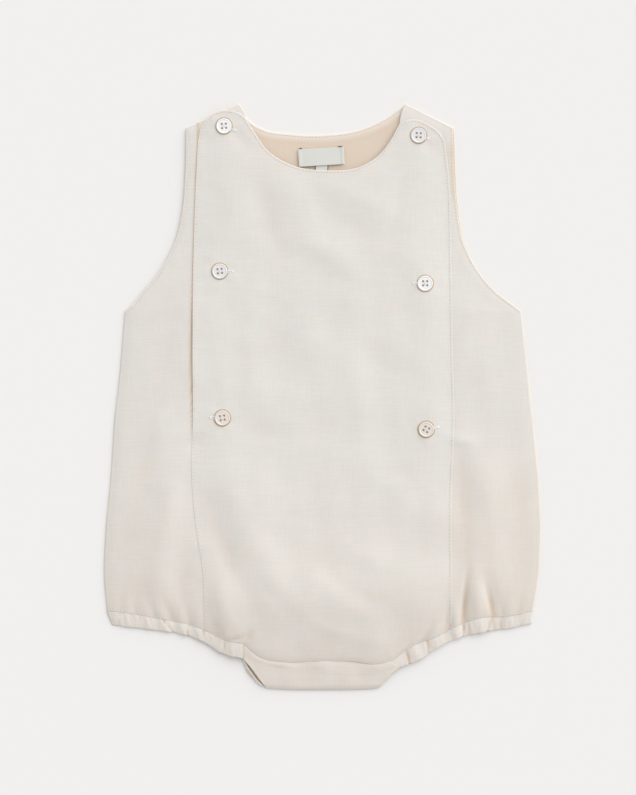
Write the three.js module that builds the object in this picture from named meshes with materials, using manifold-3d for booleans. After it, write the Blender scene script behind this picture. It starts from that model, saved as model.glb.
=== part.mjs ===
// A baby's sleeveless bubble romper, laid flat on its back with the buttoned front panel up.
// Millimetres, +Z up. The neck points to +Y, and X runs from left to right as seen from above.
// The origin is on the surface under the middle of the garment.
import * as THREE from "three";
import { mergeVertices } from "three/addons/utils/BufferGeometryUtils.js";
import Module from "manifold-3d";

// Cloth
const CLOTH = 1.0; // wall of one piece of cloth
const GAP = 0.3; // space at a seam and between pieces that lie on each other
const HEM_EASE = 0.25; // extra space at the hem seams, which are curved
const LAYER = CLOTH + GAP;

// Leg casings: the folded hem with its elastic inside
const BACK_CASING = 1.6; // height of the casing that rests on the surface
const FRONT_CASING = 1.8;
const CASING_WAVE = 0.4; // how far a gather lifts or sinks the front casing
const CASING_PITCH = 7.5; // length of one gather along the casing
const CASING_SCALLOP = 0.35; // how far a gather moves the casing's lower edge
const BACK_CASING_SHOWS = 1.0; // the back casing's lower edge lies this far outside the front one

// Buttons: four-hole shell buttons
const BUTTON_RADIUS = 5.0;
const BUTTON_HEIGHT = 2.0;
const BUTTON_DISH = 0.5; // depth of the dished middle
const BUTTON_RIM = 1.3; // width of the raised rim
const BUTTON_HOLE_RADIUS = 0.75;
const BUTTON_HOLE_SPREAD = 1.35; // from the button's axis to a hole, along x and along y

// Labels at the back neck
const LABEL = { width: 31, height: 10.8, x: -0.8, y: 163.3, turn: THREE.MathUtils.degToRad(3.6) };
const SIZE_TAG = { width: 8.6, height: 12, x: -0.6, y: 151.2, turn: 0 };

// How far the front's loft takes to fade out towards the side seams
const FADE = 26;

// The garment's outer edge, section by section, from the leg hem up to the underarm
const SIDE_HEM = { left: -146.2, right: 142.8 };
const SIDE_SECTIONS = [
  { y: -120.0, left: -148.1, right: 146.9 },
  { y: -88.0, left: -146.8, right: 148.1 },
  { y: -57.0, left: -143.8, right: 146.9 },
  { y: -15.0, left: -141.0, right: 142.7 },
  { y: 17.0, left: -137.4, right: 139.4 },
  { y: 58.5, left: -134.1, right: 135.0 },
];

// The same from the underarm up round the armhole to the shoulder's tip. rightShows is how far the back
// peeps out past the right side front there.
const ARMHOLE_SECTIONS = [
  { y: 58.5, left: -134.1, right: 135.0 },
  { y: 64.5, left: -127.6, right: 126.9 },
  { y: 73.0, left: -120.7, right: 116.2 },
  { y: 86.0, left: -110.5, right: 105.5 },
  { y: 105.0, left: -100.5, right: 96.2 },
  { y: 130.0, left: -94.8, right: 91.8 },
  { y: 155.0, left: -93.1, right: 90.1, rightShows: 1.8 },
  { y: 183.0, left: -92.5, right: 89.3, rightShows: 1.4 },
];

// The side fronts' hidden inner edge, which runs under the centre front, from the hem to the neck point
const UNDERLAP_HEM = { left: -74.2, right: 80.6 };
const UNDERLAP_LOW = [
  { y: -100.0, left: -78.0, right: 81.0 },
  { y: -44.0, left: -81.5, right: 81.5 },
  { y: -12.0, left: -55.0, right: 55.0 },
  { y: 58.5, left: -54.0, right: 54.0 },
];
const UNDERLAP_HIGH = [
  { y: 58.5, left: -54.0, right: 54.0 },
  { y: 150.0, left: -52.5, right: 52.8 },
  { y: 186.0, left: -51.6, right: 52.2 },
  { y: 193.8, left: -53.2, right: 53.8 },
  { y: 199.2, left: -56.8, right: 56.1 },
];

// The centre front's side edges: flaps down to y -26, then topstitched seams down to the hem
const CENTRE_HEM = { left: -80.2, right: 87.8 };
const CENTRE_SECTIONS = [
  { y: -120.0, left: -81.2, right: 87.8 },
  { y: -84.0, left: -86.6, right: 87.3 },
  { y: -45.0, left: -89.1, right: 88.4 },
  { y: -18.0, left: -88.5, right: 89.3 },
  { y: 30.0, left: -88.8, right: 88.4 },
  { y: 90.0, left: -88.5, right: 87.5 },
  { y: 145.0, left: -86.9, right: 86.2 },
  { y: 173.5, left: -85.3, right: 83.2 },
];

// The centre front's upper edge: a round tab at each shoulder and the front neckline between them
const CENTRE_TOP = [
  { x: -85.3, y: 173.5 },
  { x: -82.6, y: 184.0 },
  { x: -74.8, y: 192.2 },
  { x: -65.0, y: 194.9 },
  { x: -55.4, y: 192.2 },
  { x: -47.2, y: 181.2 },
  { x: -36.0, y: 166.2 },
  { x: -20.0, y: 157.1 },
  { x: 3.0, y: 153.8 },
  { x: 24.0, y: 155.8 },
  { x: 37.5, y: 163.6 },
  { x: 47.6, y: 176.6 },
  { x: 53.2, y: 185.9 },
  { x: 62.5, y: 188.4 },
  { x: 72.4, y: 184.8 },
  { x: 79.6, y: 179.3 },
  { x: 83.2, y: 173.5 },
];

// The back neckline, between the two neck points
const BACK_NECK = [
  { x: -56.8, y: 199.2 },
  { x: -50.6, y: 188.6 },
  { x: -40.0, y: 182.0 },
  { x: -22.0, y: 179.0 },
  { x: 4.0, y: 178.5 },
  { x: 22.0, y: 181.0 },
  { x: 42.0, y: 189.0 },
  { x: 56.1, y: 198.9 },
];

// Leg casings across their width, from the side seam to the crotch: the lower edge and the upper one
const LEFT_CASING = [
  { lowX: -143.0, lowY: -154.6, highX: -146.2, highY: -145.3 },
  { lowX: -129.5, lowY: -156.3, highX: -130.0, highY: -147.2 },
  { lowX: -108.0, lowY: -158.8, highX: -108.5, highY: -151.0 },
  { lowX: -91.0, lowY: -161.8, highX: -91.0, highY: -154.4 },
  { lowX: -80.5, lowY: -166.2, highX: -79.0, highY: -158.8 },
  { lowX: -68.0, lowY: -173.8, highX: -66.5, highY: -165.0 },
  { lowX: -54.6, lowY: -177.1, highX: -54.2, highY: -167.3 },
];
const RIGHT_CASING = [
  { lowX: 142.2, lowY: -153.8, highX: 142.8, highY: -145.5 },
  { lowX: 128.0, lowY: -156.7, highX: 128.0, highY: -148.8 },
  { lowX: 106.0, lowY: -160.0, highX: 105.0, highY: -150.4 },
  { lowX: 90.0, lowY: -164.5, highX: 88.0, highY: -157.2 },
  { lowX: 78.0, lowY: -170.0, highX: 75.5, highY: -163.6 },
  { lowX: 66.5, lowY: -177.8, highX: 63.0, highY: -167.9 },
  { lowX: 52.6, lowY: -183.2, highX: 48.9, highY: -177.6 },
];

// The crotch seam between the two leg casings, the same on the front and on the back under it
const CROTCH_LINE = [
  { x: -53.6, y: -166.9 },
  { x: -50.0, y: -170.6 },
  { x: -45.0, y: -174.9 },
  { x: -39.0, y: -178.0 },
  { x: -30.0, y: -179.4 },
  { x: 0.0, y: -179.2 },
  { x: 22.0, y: -179.4 },
  { x: 36.0, y: -181.2 },
  { x: 47.6, y: -178.2 },
];

// The crotch strip, row by row: from the seam under the centre front, over the bottom fold, to the
// seam at the back. Its first and last row follow those two seams. dip is how far a row's middle lies
// below its ends, and z is the height of the middle of the wall.
const CROTCH_ROWS = [
  { leftX: -53.4, leftY: -176.6, rightX: 51.0, rightY: -183.6, dip: 6.2, z: 3.9 },
  { leftX: -48.2, leftY: -184.2, rightX: 47.4, rightY: -187.4, dip: 2.4, z: 3.7 },
  { leftX: -43.4, leftY: -190.8, rightX: 43.0, rightY: -192.0, dip: 1.4, z: 3.4 },
  { leftX: -39.6, leftY: -195.8, rightX: 39.6, rightY: -195.8, dip: 1.4, z: 2.7 },
  { leftX: -38.6, leftY: -197.4, rightX: 38.4, rightY: -197.3, dip: 1.3, z: 1.6 },
  { leftX: -40.8, leftY: -195.8, rightX: 39.0, rightY: -195.8, dip: 1.4, z: 0.5 },
  { leftX: -46.8, leftY: -191.4, rightX: 42.4, rightY: -192.0, dip: 1.4, z: 0.5 },
  { leftX: -52.2, leftY: -184.4, rightX: 50.6, rightY: -184.6, dip: 0.8, z: 0.5 },
];
const CROTCH_SEAM = 0.6; // space at the crotch seams, which run at a slant to the strip's rows

// The loft of the front over the back, along the garment
const LOFT_SECTIONS = [
  { y: -185, loft: 1.0 },
  { y: -160, loft: 1.1 },
  { y: -135, loft: 1.7 },
  { y: -80, loft: 1.7 },
  { y: 10, loft: 1.4 },
  { y: 90, loft: 1.3 },
  { y: 150, loft: 1.0 },
  { y: 182, loft: 0.5 },
  { y: 200, loft: 0.2 },
];

// The front's folds: soft ridges (height above 0) and troughs, each with the way its crest runs,
// measured from +X, its half length and its half width
const FOLDS = [
  { x: -22, y: 112, turn: -62, length: 38, width: 11, height: -0.5 },
  { x: -2, y: 118, turn: -58, length: 34, width: 11, height: 0.5 },
  { x: 36, y: 112, turn: -20, length: 24, width: 9, height: -0.35 },
  { x: 10, y: 92, turn: -14, length: 40, width: 9, height: 0.4 },
  { x: -20, y: 36, turn: -88, length: 46, width: 12, height: -0.4 },
  { x: 34, y: 36, turn: 68, length: 40, width: 11, height: -0.35 },
  { x: 6, y: -74, turn: -72, length: 60, width: 20, height: 0.5 },
  { x: -54, y: -96, turn: -62, length: 44, width: 12, height: -0.6 },
  { x: -66, y: -58, turn: -70, length: 26, width: 7, height: 0.35 },
  { x: 44, y: -136, turn: -33, length: 34, width: 8, height: -0.5 },
  { x: 14, y: -146, turn: -36, length: 36, width: 8, height: 0.45 },
  { x: -36, y: -156, turn: -38, length: 20, width: 7, height: -0.45 },
  { x: -98, y: -72, turn: 62, length: 30, width: 8, height: 0.4 },
  { x: -112, y: -52, turn: 60, length: 34, width: 8, height: -0.35 },
  { x: 104, y: -86, turn: -84, length: 46, width: 8, height: -0.5 },
  { x: 122, y: -60, turn: -82, length: 46, width: 9, height: 0.35 },
];

// The gathers that run up from the leg casings into the cloth: where each leaves the casing,
// the way it runs, how far up it fades out, its half width and its height
const GATHERS = [
  { x: -137, y: -140, turn: 84, length: 20, width: 3.6, height: 0.5 },
  { x: -125, y: -142, turn: 96, length: 13, width: 3.4, height: -0.4 },
  { x: -114, y: -144, turn: 100, length: 12, width: 3.6, height: 0.45 },
  { x: -103, y: -146, turn: 104, length: 14, width: 3.4, height: -0.4 },
  { x: -93, y: -147, turn: 100, length: 18, width: 3.6, height: 0.45 },
  { x: 130, y: -142, turn: 80, length: 14, width: 3.4, height: -0.4 },
  { x: 119, y: -141, turn: 92, length: 12, width: 3.6, height: 0.4 },
  { x: 109, y: -136, turn: 97, length: 22, width: 3.6, height: -0.55 },
  { x: 101, y: -138, turn: 96, length: 22, width: 3.8, height: 0.6 },
  { x: 93, y: -136, turn: 92, length: 22, width: 3.4, height: -0.5 },
];

const BUTTONS = [
  { name: "button_top_left", x: -66.9, y: 183.9, turn: 4 },
  { name: "button_top_right", x: 65.1, y: 177.6, turn: -2 },
  { name: "button_middle_left", x: -69.7, y: 85.4, turn: 6 },
  { name: "button_middle_right", x: 69.5, y: 77.1, turn: 1 },
  { name: "button_low_left", x: -67.9, y: -14.1, turn: 24 },
  { name: "button_low_right", x: 70.2, y: -21.8, turn: 32 },
];

const LINEN = { color: 0xe5dfd6, roughness: 0.92, metalness: 0 };
const SHELL = { color: 0xf2f0ee, roughness: 0.28, metalness: 0 };
const WOVEN_LABEL = { color: 0xe0ddd4, roughness: 0.75, metalness: 0 };

const { smoothstep, lerp, degToRad } = THREE.MathUtils;

// A column of a table of sections at y, straight between its rows.
function sectionAt(rows, column, y) {
  const next = rows.findIndex((row) => row.y >= y);
  if (next < 0) return rows.at(-1)[column];
  if (next === 0) return rows[0][column];
  const [low, high] = [rows[next - 1], rows[next]];
  return lerp(low[column], high[column], (y - low.y) / (high.y - low.y));
}

// The same, eased between its rows.
function easedAt(rows, column, y) {
  const next = rows.findIndex((row) => row.y >= y);
  if (next < 0) return rows.at(-1)[column];
  if (next === 0) return rows[0][column];
  const [low, high] = [rows[next - 1], rows[next]];
  return lerp(low[column], high[column], smoothstep(y, low.y, high.y));
}

const OUTER_SECTIONS = [...SIDE_SECTIONS, ...ARMHOLE_SECTIONS.slice(1)];

// How much a ridge or trough adds at (x, y): its height, falling off as a bell along and across it.
function foldAt({ x: foldX, y: foldY, turn, length, width, height }, x, y) {
  const [dx, dy] = [x - foldX, y - foldY];
  const [cos, sin] = [Math.cos(degToRad(turn)), Math.sin(degToRad(turn))];
  const along = (dx * cos + dy * sin) / length;
  const across = (dy * cos - dx * sin) / width;
  return height * Math.exp(-along * along - across * across);
}

// How high the front stands off the back at (x, y): the loft and the folds, faded out at the side seams.
function rise(x, y) {
  const left = x - sectionAt(OUTER_SECTIONS, "left", y);
  const right = sectionAt(OUTER_SECTIONS, "right", y) - x;
  const fade = smoothstep(Math.min(left, right), 0, FADE);
  const folds = [...FOLDS, ...GATHERS].reduce((sum, fold) => sum + foldAt(fold, x, y), 0);
  return Math.max(0, fade * (easedAt(LOFT_SECTIONS, "loft", y) + folds));
}

const sideFrontUnder = (x, y) => CLOTH + GAP + rise(x, y);
const centreFrontUnder = (x, y) => sideFrontUnder(x, y) + LAYER;

const evenSteps = (count) => Array.from({ length: count + 1 }, (_, index) => index / count);

// A smooth plane curve through a list of points, as a function of the share of its length.
function curveThrough(points) {
  const curve = new THREE.CatmullRomCurve3(
    points.map(({ x, y }) => new THREE.Vector3(x, y, 0)),
    false,
    "centripetal",
  );
  return (share) => curve.getPointAt(THREE.MathUtils.clamp(share, 0, 1));
}

// The crotch seam, which ends where the hems of the leg openings end.
function crotchLine() {
  const [start, end] = [CROTCH_LINE[0], CROTCH_LINE.at(-1)];
  const left = hemCurve(LEFT_CASING, SIDE_HEM.left, start.x)(1);
  const right = hemCurve(RIGHT_CASING, end.x, SIDE_HEM.right)(0);
  return curveThrough([left, ...CROTCH_LINE.slice(1, -1), right]);
}

// Several curves one after another. Each takes its share of the way, so that corners fall on grid lines.
function joined(...legs) {
  return (t) => {
    let start = 0;
    for (const [index, { curve, share }] of legs.entries()) {
      if (t <= start + share + 1e-9 || index === legs.length - 1) return curve((t - start) / share);
      start += share;
    }
  };
}

const sideOf = (rows, side) => rows.map((row) => ({ x: row[side], y: row.y }));

// The seam line that a panel's hem follows: a leg casing's upper edge, from one x to another.
function hemCurve(casing, fromX, toX) {
  const upper = casing.map((row) => ({ x: row.highX, y: row.highY + HEM_EASE }));
  const line = evenSteps(120).map(curveThrough(upper));
  return (share) => {
    const x = lerp(fromX, toX, THREE.MathUtils.clamp(share, 0, 1));
    const passed = line.filter((point) => Math.abs(point.x) > Math.abs(x)).length;
    const next = THREE.MathUtils.clamp(passed, 1, line.length - 1);
    const [a, b] = [line[next - 1], line[next]];
    return { x, y: lerp(a.y, b.y, (x - a.x) / (b.x - a.x)) };
  };
}

// The surface that four edge curves span: a Coons patch, as a function of two shares.
function patch({ left, right, bottom, top }) {
  const corner = { low: [bottom(0), bottom(1)], high: [top(0), top(1)] };
  return (u, v) => {
    const blend = (key) =>
      (1 - v) * bottom(u)[key] + v * top(u)[key] + (1 - u) * left(v)[key] + u * right(v)[key] -
      (1 - v) * ((1 - u) * corner.low[0][key] + u * corner.low[1][key]) -
      v * ((1 - u) * corner.high[0][key] + u * corner.high[1][key]);
    return { x: blend("x"), y: blend("y") };
  };
}

// Shares from stop to stop, with a number of even steps between each two.
const stepsThrough = (stops, counts) => [
  stops[0],
  ...counts.flatMap((count, index) =>
    evenSteps(count).slice(1).map((share) => lerp(stops[index], stops[index + 1], share)),
  ),
];

// Shares that crowd towards 0, for rows that are closer near the hem.
const hemSteps = (count, power) => evenSteps(count).map((share) => share ** power);

// A closed wall between an upper grid of points and a lower one. Rows run along v, columns along u.
function wallGeometry(upper, lower) {
  const [rows, columns] = [upper.length, upper[0].length];
  const [lastRow, lastColumn] = [rows - 1, columns - 1];
  const positions = [...upper.flat(), ...lower.flat()].flatMap(({ x, y, z }) => [x, y, z]);
  const top = (row, column) => row * columns + column;
  const under = (row, column) => rows * columns + top(row, column);
  const index = [];
  const quad = (a, b, c, d) => index.push(a, b, c, a, c, d);
  for (let row = 0; row < rows - 1; row++) {
    for (let column = 0; column < columns - 1; column++) {
      quad(top(row, column), top(row, column + 1), top(row + 1, column + 1), top(row + 1, column));
      quad(under(row, column), under(row + 1, column), under(row + 1, column + 1), under(row, column + 1));
    }
    quad(top(row, 0), top(row + 1, 0), under(row + 1, 0), under(row, 0));
    quad(top(row + 1, lastColumn), top(row, lastColumn), under(row, lastColumn), under(row + 1, lastColumn));
  }
  for (let column = 0; column < columns - 1; column++) {
    quad(top(0, column + 1), top(0, column), under(0, column), under(0, column + 1));
    quad(top(lastRow, column), top(lastRow, column + 1), under(lastRow, column + 1), under(lastRow, column));
  }
  const geometry = new THREE.BufferGeometry();
  geometry.setAttribute("position", new THREE.Float32BufferAttribute(positions, 3));
  geometry.setIndex(index);
  geometry.computeVertexNormals();
  return geometry;
}

// A panel of cloth cut to a patch, with its underside at the height that under(x, y) gives.
function panelGeometry(surface, columns, rows, under) {
  const lower = rows.map((v) =>
    columns.map((u) => {
      const { x, y } = surface(u, v);
      return { x, y, z: under(x, y) };
    }),
  );
  return wallGeometry(lower.map((row) => row.map((point) => ({ ...point, z: point.z + CLOTH }))), lower);
}

// Rows for the pieces that pass the underarm: closer near the hem, then up the armhole.
const UNDERARM_SHARE = 0.6;
const lowRows = (count) => hemSteps(count, 1.35).map((share) => share * UNDERARM_SHARE);
const highRows = (count) => evenSteps(count).slice(1).map((share) => lerp(UNDERARM_SHARE, 1, share));

// The outer edge of a panel that starts at a corner of its hem, without the strip of the back that shows.
function outerEdge(side, corner, isFront) {
  const shows = ({ rightShows = 0 }) => (isFront && side === "right" ? rightShows : 0);
  const armhole = ARMHOLE_SECTIONS.map((row) => ({ x: row[side] - shows(row), y: row.y }));
  return joined(
    { curve: curveThrough([corner, ...sideOf(SIDE_SECTIONS, side)]), share: UNDERARM_SHARE },
    { curve: curveThrough(armhole), share: 1 - UNDERARM_SHARE },
  );
}

// The shares of the back's width that each shoulder takes at the top, and each leg opening at the bottom.
const BACK_SHARES = { shoulder: 0.17, leg: 0.31 };

function backGeometry() {
  const shoulderLine = (side) => {
    const tip = { x: ARMHOLE_SECTIONS.at(-1)[side], y: ARMHOLE_SECTIONS.at(-1).y };
    return side === "left" ? [tip, BACK_NECK[0]] : [BACK_NECK.at(-1), tip];
  };
  const hem = {
    left: hemCurve(LEFT_CASING, SIDE_HEM.left, CROTCH_LINE[0].x),
    right: hemCurve(RIGHT_CASING, CROTCH_LINE.at(-1).x, SIDE_HEM.right),
  };
  const surface = patch({
    left: outerEdge("left", hem.left(0), false),
    right: outerEdge("right", hem.right(1), false),
    top: joined(
      { curve: curveThrough(shoulderLine("left")), share: BACK_SHARES.shoulder },
      { curve: curveThrough(BACK_NECK), share: 1 - 2 * BACK_SHARES.shoulder },
      { curve: curveThrough(shoulderLine("right")), share: BACK_SHARES.shoulder },
    ),
    bottom: joined(
      { curve: hem.left, share: BACK_SHARES.leg },
      { curve: crotchLine(), share: 1 - 2 * BACK_SHARES.leg },
      { curve: hem.right, share: BACK_SHARES.leg },
    ),
  });
  const { shoulder, leg } = BACK_SHARES;
  const columns = stepsThrough([0, shoulder, leg, 1 - leg, 1 - shoulder, 1], [6, 5, 10, 5, 6]);
  return panelGeometry(surface, columns, [...lowRows(6), ...highRows(9)], () => 0);
}

// A side front: shoulder, armhole, side seam and hem, with the underlap that carries the buttons.
function sideFrontGeometry(side) {
  const casing = side === "left" ? LEFT_CASING : RIGHT_CASING;
  const hem = hemCurve(casing, SIDE_HEM[side], UNDERLAP_HEM[side]);
  const outer = outerEdge(side, hem(0), true);
  const inner = joined(
    { curve: curveThrough([hem(1), ...sideOf(UNDERLAP_LOW, side)]), share: UNDERARM_SHARE },
    { curve: curveThrough(sideOf(UNDERLAP_HIGH, side)), share: 1 - UNDERARM_SHARE },
  );
  const shoulder = curveThrough([outer(1), inner(1)]);
  const surface = patch(
    side === "left"
      ? { left: outer, right: inner, bottom: hem, top: shoulder }
      : { left: inner, right: outer, bottom: (u) => hem(1 - u), top: (u) => shoulder(1 - u) },
  );
  return panelGeometry(surface, evenSteps(20), [...lowRows(18), ...highRows(11)], sideFrontUnder);
}

// The centre front: a flap with two round tabs at the shoulders, sewn to the side fronts lower down.
const CENTRE_LEG_SHARE = 0.16; // the share of its width that each leg opening takes at the bottom

function centreFrontGeometry() {
  const leg = CENTRE_LEG_SHARE;
  const hem = {
    left: hemCurve(LEFT_CASING, CENTRE_HEM.left, CROTCH_LINE[0].x),
    right: hemCurve(RIGHT_CASING, CROTCH_LINE.at(-1).x, CENTRE_HEM.right),
  };
  const surface = patch({
    left: curveThrough([hem.left(0), ...sideOf(CENTRE_SECTIONS, "left")]),
    right: curveThrough([hem.right(1), ...sideOf(CENTRE_SECTIONS, "right")]),
    top: curveThrough(CENTRE_TOP),
    bottom: joined(
      { curve: hem.left, share: leg },
      { curve: crotchLine(), share: 1 - 2 * leg },
      { curve: hem.right, share: leg },
    ),
  });
  const columns = stepsThrough([0, leg, 1 - leg, 1], [5, 16, 5]);
  return panelGeometry(surface, columns, hemSteps(32, 1.15), centreFrontUnder);
}

// The outline of a casing's section, in shares of its width and height: flat above and below.
const CASING_SECTION = [
  { across: -0.5, up: -0.2 },
  { across: -0.36, up: -0.5 },
  { across: 0.36, up: -0.5 },
  { across: 0.5, up: -0.2 },
  { across: 0.5, up: 0.2 },
  { across: 0.36, up: 0.5 },
  { across: -0.36, up: 0.5 },
  { across: -0.5, up: 0.2 },
];

// A closed tube: rings of points, each one round, with its two ends filled in.
function tubeGeometry(rings) {
  const around = rings[0].length;
  const positions = rings.flat().flatMap(({ x, y, z }) => [x, y, z]);
  const at = (ring, point) => ring * around + (point % around);
  const index = [];
  for (let ring = 0; ring < rings.length - 1; ring++) {
    for (let point = 0; point < around; point++) {
      index.push(at(ring, point), at(ring + 1, point), at(ring + 1, point + 1));
      index.push(at(ring, point), at(ring + 1, point + 1), at(ring, point + 1));
    }
  }
  for (let point = 1; point < around - 1; point++) {
    index.push(at(0, 0), at(0, point), at(0, point + 1));
    index.push(at(rings.length - 1, 0), at(rings.length - 1, point + 1), at(rings.length - 1, point));
  }
  const geometry = new THREE.BufferGeometry();
  geometry.setAttribute("position", new THREE.Float32BufferAttribute(positions, 3));
  geometry.setIndex(index);
  geometry.computeVertexNormals();
  return geometry;
}

// A leg casing between its lower and upper edge. middle(x) is the height of its middle. Its gathers
// lift and sink it by wave, and move its lower edge in and out by scallop.
function casingGeometry(rows, { stations, height, middle, wave, scallop, shows }) {
  const low = curveThrough(rows.map((row) => ({ x: row.lowX, y: row.lowY })));
  const high = curveThrough(rows.map((row) => ({ x: row.highX, y: row.highY })));
  const pitch = CASING_PITCH / Math.abs(rows[0].lowX - rows.at(-1).lowX);
  const rings = evenSteps(stations).map((share) => {
    const [outer, inner] = [low(share), high(share)];
    const gather = Math.sin((2 * Math.PI * share) / pitch) * Math.sin(Math.PI * share) ** 0.3;
    const width = inner.clone().sub(outer);
    const out = width.clone().normalize();
    const edge = outer.clone().addScaledVector(out, scallop * gather - shows);
    const far = inner.clone().addScaledVector(out, -GAP);
    const section = CASING_SECTION.map(({ across, up }) => {
      const point = edge.clone().lerp(far, across + 0.5);
      return { x: point.x, y: point.y, z: middle(point.x) + wave * gather + up * height };
    });
    return rows[0].lowX < 0 ? section.reverse() : section;
  });
  return tubeGeometry(rings);
}

const backCasing = (rows) =>
  casingGeometry(rows, {
    stations: 24,
    height: BACK_CASING,
    middle: () => BACK_CASING / 2,
    wave: 0,
    scallop: 0,
    shows: BACK_CASING_SHOWS,
  });

// The front casing lies on the back one, and climbs a little where it passes on to the centre front.
const FRONT_CASING_LOW = BACK_CASING + GAP + CASING_WAVE + FRONT_CASING / 2;
const FRONT_CASING_CLIMB = 0.9;
const frontCasing = (rows) =>
  casingGeometry(rows, {
    stations: 60,
    height: FRONT_CASING,
    middle: (x) => FRONT_CASING_LOW + FRONT_CASING_CLIMB * smoothstep(-Math.abs(x), -95, -72),
    wave: CASING_WAVE,
    scallop: CASING_SCALLOP,
    shows: 0,
  });

// The crotch strip: a wall that turns under at the bottom fold.
function crotchGeometry() {
  const across = evenSteps(14);
  const seam = crotchLine();
  const seamRow = (under) =>
    across.map((u) => {
      const point = seam(u);
      const way = seam(u + 0.01).clone().sub(seam(u - 0.01)).normalize();
      const [x, y] = [point.x + way.y * CROTCH_SEAM, point.y - way.x * CROTCH_SEAM];
      return { x, y, z: under(x, y) + CLOTH / 2 };
    });
  const middle = [
    seamRow(centreFrontUnder),
    ...CROTCH_ROWS.map((row) =>
      across.map((u) => ({
        x: lerp(row.leftX, row.rightX, u),
        y: lerp(row.leftY, row.rightY, u) - row.dip * (1 - (2 * u - 1) ** 4),
        z: row.z,
      })),
    ),
    seamRow(() => 0),
  ];
  const offset = (side) =>
    middle.map((row, index) =>
      row.map((point, column) => {
        const before = middle[Math.max(index - 1, 0)][column];
        const after = middle[Math.min(index + 1, middle.length - 1)][column];
        const [dy, dz] = [after.y - before.y, after.z - before.z];
        const length = Math.hypot(dy, dz);
        const reach = (side * CLOTH) / 2 / length;
        return { x: point.x, y: point.y + dz * reach, z: point.z - dy * reach };
      }),
    );
  return wallGeometry(offset(1).reverse(), offset(-1).reverse());
}

// A flat strip of woven tape.
function tapeGeometry({ width, height }) {
  const shape = new THREE.Shape();
  shape.moveTo(-width / 2, -height / 2);
  shape.lineTo(width / 2, -height / 2);
  shape.lineTo(width / 2, height / 2);
  shape.lineTo(-width / 2, height / 2);
  shape.closePath();
  return new THREE.ExtrudeGeometry(shape, { depth: CLOTH, bevelEnabled: false });
}

const wasm = await Module();
wasm.setup();

function solidOf(geometry) {
  const bare = geometry.clone();
  bare.deleteAttribute("normal");
  bare.deleteAttribute("uv");
  const merged = mergeVertices(bare);
  const vertProperties = new Float32Array(merged.attributes.position.array);
  const triVerts = new Uint32Array(merged.index.array);
  return new wasm.Manifold(new wasm.Mesh({ numProp: 3, vertProperties, triVerts }));
}

function geometryOf(solid) {
  const mesh = solid.getMesh();
  const geometry = new THREE.BufferGeometry();
  geometry.setAttribute("position", new THREE.Float32BufferAttribute(mesh.vertProperties, 3));
  geometry.setIndex(new THREE.BufferAttribute(mesh.triVerts, 1));
  geometry.computeVertexNormals();
  return geometry;
}

// A four-hole button: a turned disc with a raised rim and a dished middle, drilled four times.
function buttonGeometry() {
  const [radius, height] = [BUTTON_RADIUS, BUTTON_HEIGHT];
  const profile = [
    [0, 0],
    [radius * 0.82, 0],
    [radius, height * 0.4],
    [radius, height * 0.68],
    [radius - BUTTON_RIM * 0.35, height],
    [radius - BUTTON_RIM * 0.75, height],
    [radius - BUTTON_RIM * 1.25, height - BUTTON_DISH],
    [0, height - BUTTON_DISH],
  ].map(([x, y]) => new THREE.Vector2(x, y));
  const disc = new THREE.LatheGeometry(profile, 20);
  disc.rotateX(Math.PI / 2);
  const drill = new THREE.CylinderGeometry(BUTTON_HOLE_RADIUS, BUTTON_HOLE_RADIUS, height * 3, 6);
  drill.rotateX(Math.PI / 2);
  let solid = solidOf(disc);
  for (const sx of [-1, 1]) {
    for (const sy of [-1, 1]) {
      const hole = drill.clone();
      hole.translate(sx * BUTTON_HOLE_SPREAD, sy * BUTTON_HOLE_SPREAD, 0);
      solid = solid.subtract(solidOf(hole));
    }
  }
  return geometryOf(solid);
}

const romper = new THREE.Group();

function add(name, geometry, look) {
  const mesh = new THREE.Mesh(geometry, new THREE.MeshStandardMaterial(look));
  mesh.name = name;
  romper.add(mesh);
  return mesh;
}

add("back", backGeometry(), LINEN);
add("side_front_left", sideFrontGeometry("left"), LINEN);
add("side_front_right", sideFrontGeometry("right"), LINEN);
add("centre_front", centreFrontGeometry(), LINEN);
add("casing_back_left", backCasing(LEFT_CASING), LINEN);
add("casing_back_right", backCasing(RIGHT_CASING), LINEN);
add("casing_front_left", frontCasing(LEFT_CASING), LINEN);
add("casing_front_right", frontCasing(RIGHT_CASING), LINEN);
add("crotch_strip", crotchGeometry(), LINEN);

for (const [name, tape] of [["neck_label", LABEL], ["size_tag", SIZE_TAG]]) {
  const mesh = add(name, tapeGeometry(tape), WOVEN_LABEL);
  mesh.position.set(tape.x, tape.y, CLOTH + GAP);
  mesh.rotation.z = tape.turn;
}

// Each button lies on the centre front, tilted with the cloth under it.
const STEP = BUTTON_RADIUS / 2;
const buttonShape = buttonGeometry();
for (const { name, x, y, turn } of BUTTONS) {
  const mesh = add(name, buttonShape, SHELL);
  const slope = (dx, dy) =>
    (centreFrontUnder(x + dx, y + dy) - centreFrontUnder(x - dx, y - dy)) / (2 * STEP);
  const normal = new THREE.Vector3(-slope(STEP, 0), -slope(0, STEP), 1).normalize();
  mesh.quaternion.setFromUnitVectors(new THREE.Vector3(0, 0, 1), normal);
  mesh.rotateZ(degToRad(turn));
  mesh.position.set(x, y, centreFrontUnder(x, y) + CLOTH).addScaledVector(normal, GAP);
}

export default romper;
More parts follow.
